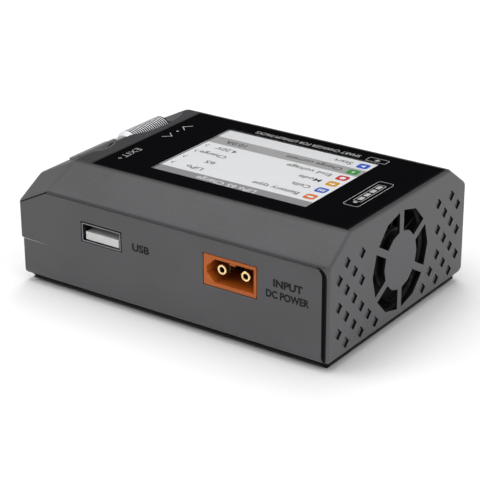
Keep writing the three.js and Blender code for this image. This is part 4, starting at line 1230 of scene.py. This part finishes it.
film, tree, surface = shader("ribbon_film", srgb(186, 128, 44), 0.3)
place = add(tree, "TexCoord").outputs["Object"]
stripes = add(tree, "TexWave", (("Vector", place), ("Scale", 400.0)), bands_direction="Y").outputs["Fac"]
tree.links.new(tint(tree, srgb(160, 104, 34), srgb(200, 146, 62), stripes), surface.inputs["Base Color"])
dress(["lcd_ribbon"], film)

# ---------------------------------------------------------------------------------------------
# Studio: a pale floor, a pale surround with one dark flat behind the object, soft lamps, and a
# camera a little above the supply side's corner with the fan end.
# ---------------------------------------------------------------------------------------------
bpy.context.scene.view_settings.view_transform = "Standard"
bm = bmesh.new()
bmesh.ops.create_grid(bm, x_segments=1, y_segments=1, size=6000)
floor = build("floor", bm)
floor.data.materials.append(shader("floor_paper", (0.92, 0.92, 0.92, 1), 0.9, Specular_IOR_Level=0.1)[0])

camera_data = bpy.data.cameras.new("camera")
camera_data.lens = 128.74
camera = bpy.data.objects.new("camera", camera_data)
bpy.context.scene.collection.objects.link(camera)
yaw, pitch, roll = radians(-54.844), radians(-23.464), radians(-0.2855)
forward = Vector((cos(pitch) * cos(yaw), cos(pitch) * sin(yaw), sin(pitch)))
level = forward.cross(Vector((0, 0, 1))).normalized()
rise = level.cross(forward)
across = cos(roll) * level + sin(roll) * rise
above = -sin(roll) * level + cos(roll) * rise
camera.matrix_world = (Matrix.Translation((-0.2448, 0.3485, 0.1966))
                       @ Matrix((across, above, -forward)).transposed().to_4x4())
bpy.context.scene.camera = camera


def lamp(name, at, size, power, mirrored=True):
    """A square soft box that faces the middle of the object. mirrored lets the glass reflect it."""
    data = bpy.data.lights.new(name, "AREA")
    data.size = size
    data.energy = power
    light = bpy.data.objects.new(name, data)
    bpy.context.scene.collection.objects.link(light)
    light.visible_glossy = mirrored
    light.location = at
    light.rotation_euler = (Vector(at) - Vector((0, 0, 0.015))).to_track_quat("Z", "Y").to_euler()


lamp("supply_side_box", (0.7, 0.6, 0.6), 0.7, 3.1)
lamp("fan_side_box", (-0.95, 0.05, 0.25), 0.5, 3.8, mirrored=False)
lamp("top_box", (0.1, 0.1, 1.1), 0.9, 6.0)
lamp("user_side_box", (0.3, -0.6, 1.0), 0.5, 3.0)

world = bpy.data.worlds.new("surround")
bpy.context.scene.world = world
world.use_nodes = True
sky = world.node_tree
direction = add(sky, "TexCoord").outputs["Generated"]
FLAT_AZIMUTH = (cos(radians(-55)), sin(radians(-55)), 0)
toward = add(sky, "VectorMath", ((0, direction), (1, FLAT_AZIMUTH)), operation="DOT_PRODUCT")
above_floor = add(sky, "SeparateXYZ", (("Vector", direction),))
behind = scaled_mask(sky, toward.outputs["Value"], 0.35, 0.6)
low_enough = scaled_mask(sky, above_floor.outputs["Z"], 0.72, 0.62)
along_flat = (-FLAT_AZIMUTH[1], FLAT_AZIMUTH[0], 0)
beside = add(sky, "VectorMath", ((0, direction), (1, along_flat)), operation="DOT_PRODUCT")
distance = add(sky, "Math", ((0, beside.outputs["Value"]),), operation="ABSOLUTE")
straight = scaled_mask(sky, distance.outputs[0], 0.42, 0.24)
panel_area = add(sky, "Math", ((0, behind), (1, low_enough)), operation="MULTIPLY")
is_flat = add(sky, "Math", ((0, panel_area.outputs[0]), (1, straight)), operation="MULTIPLY")
pale = tint(sky, (0.95, 0.95, 0.95, 1), (0.02, 0.02, 0.02, 1), is_flat.outputs[0])
sky.links.new(pale, sky.nodes["Background"].inputs["Color"])
sky.nodes["Background"].inputs["Strength"].default_value = 0.5
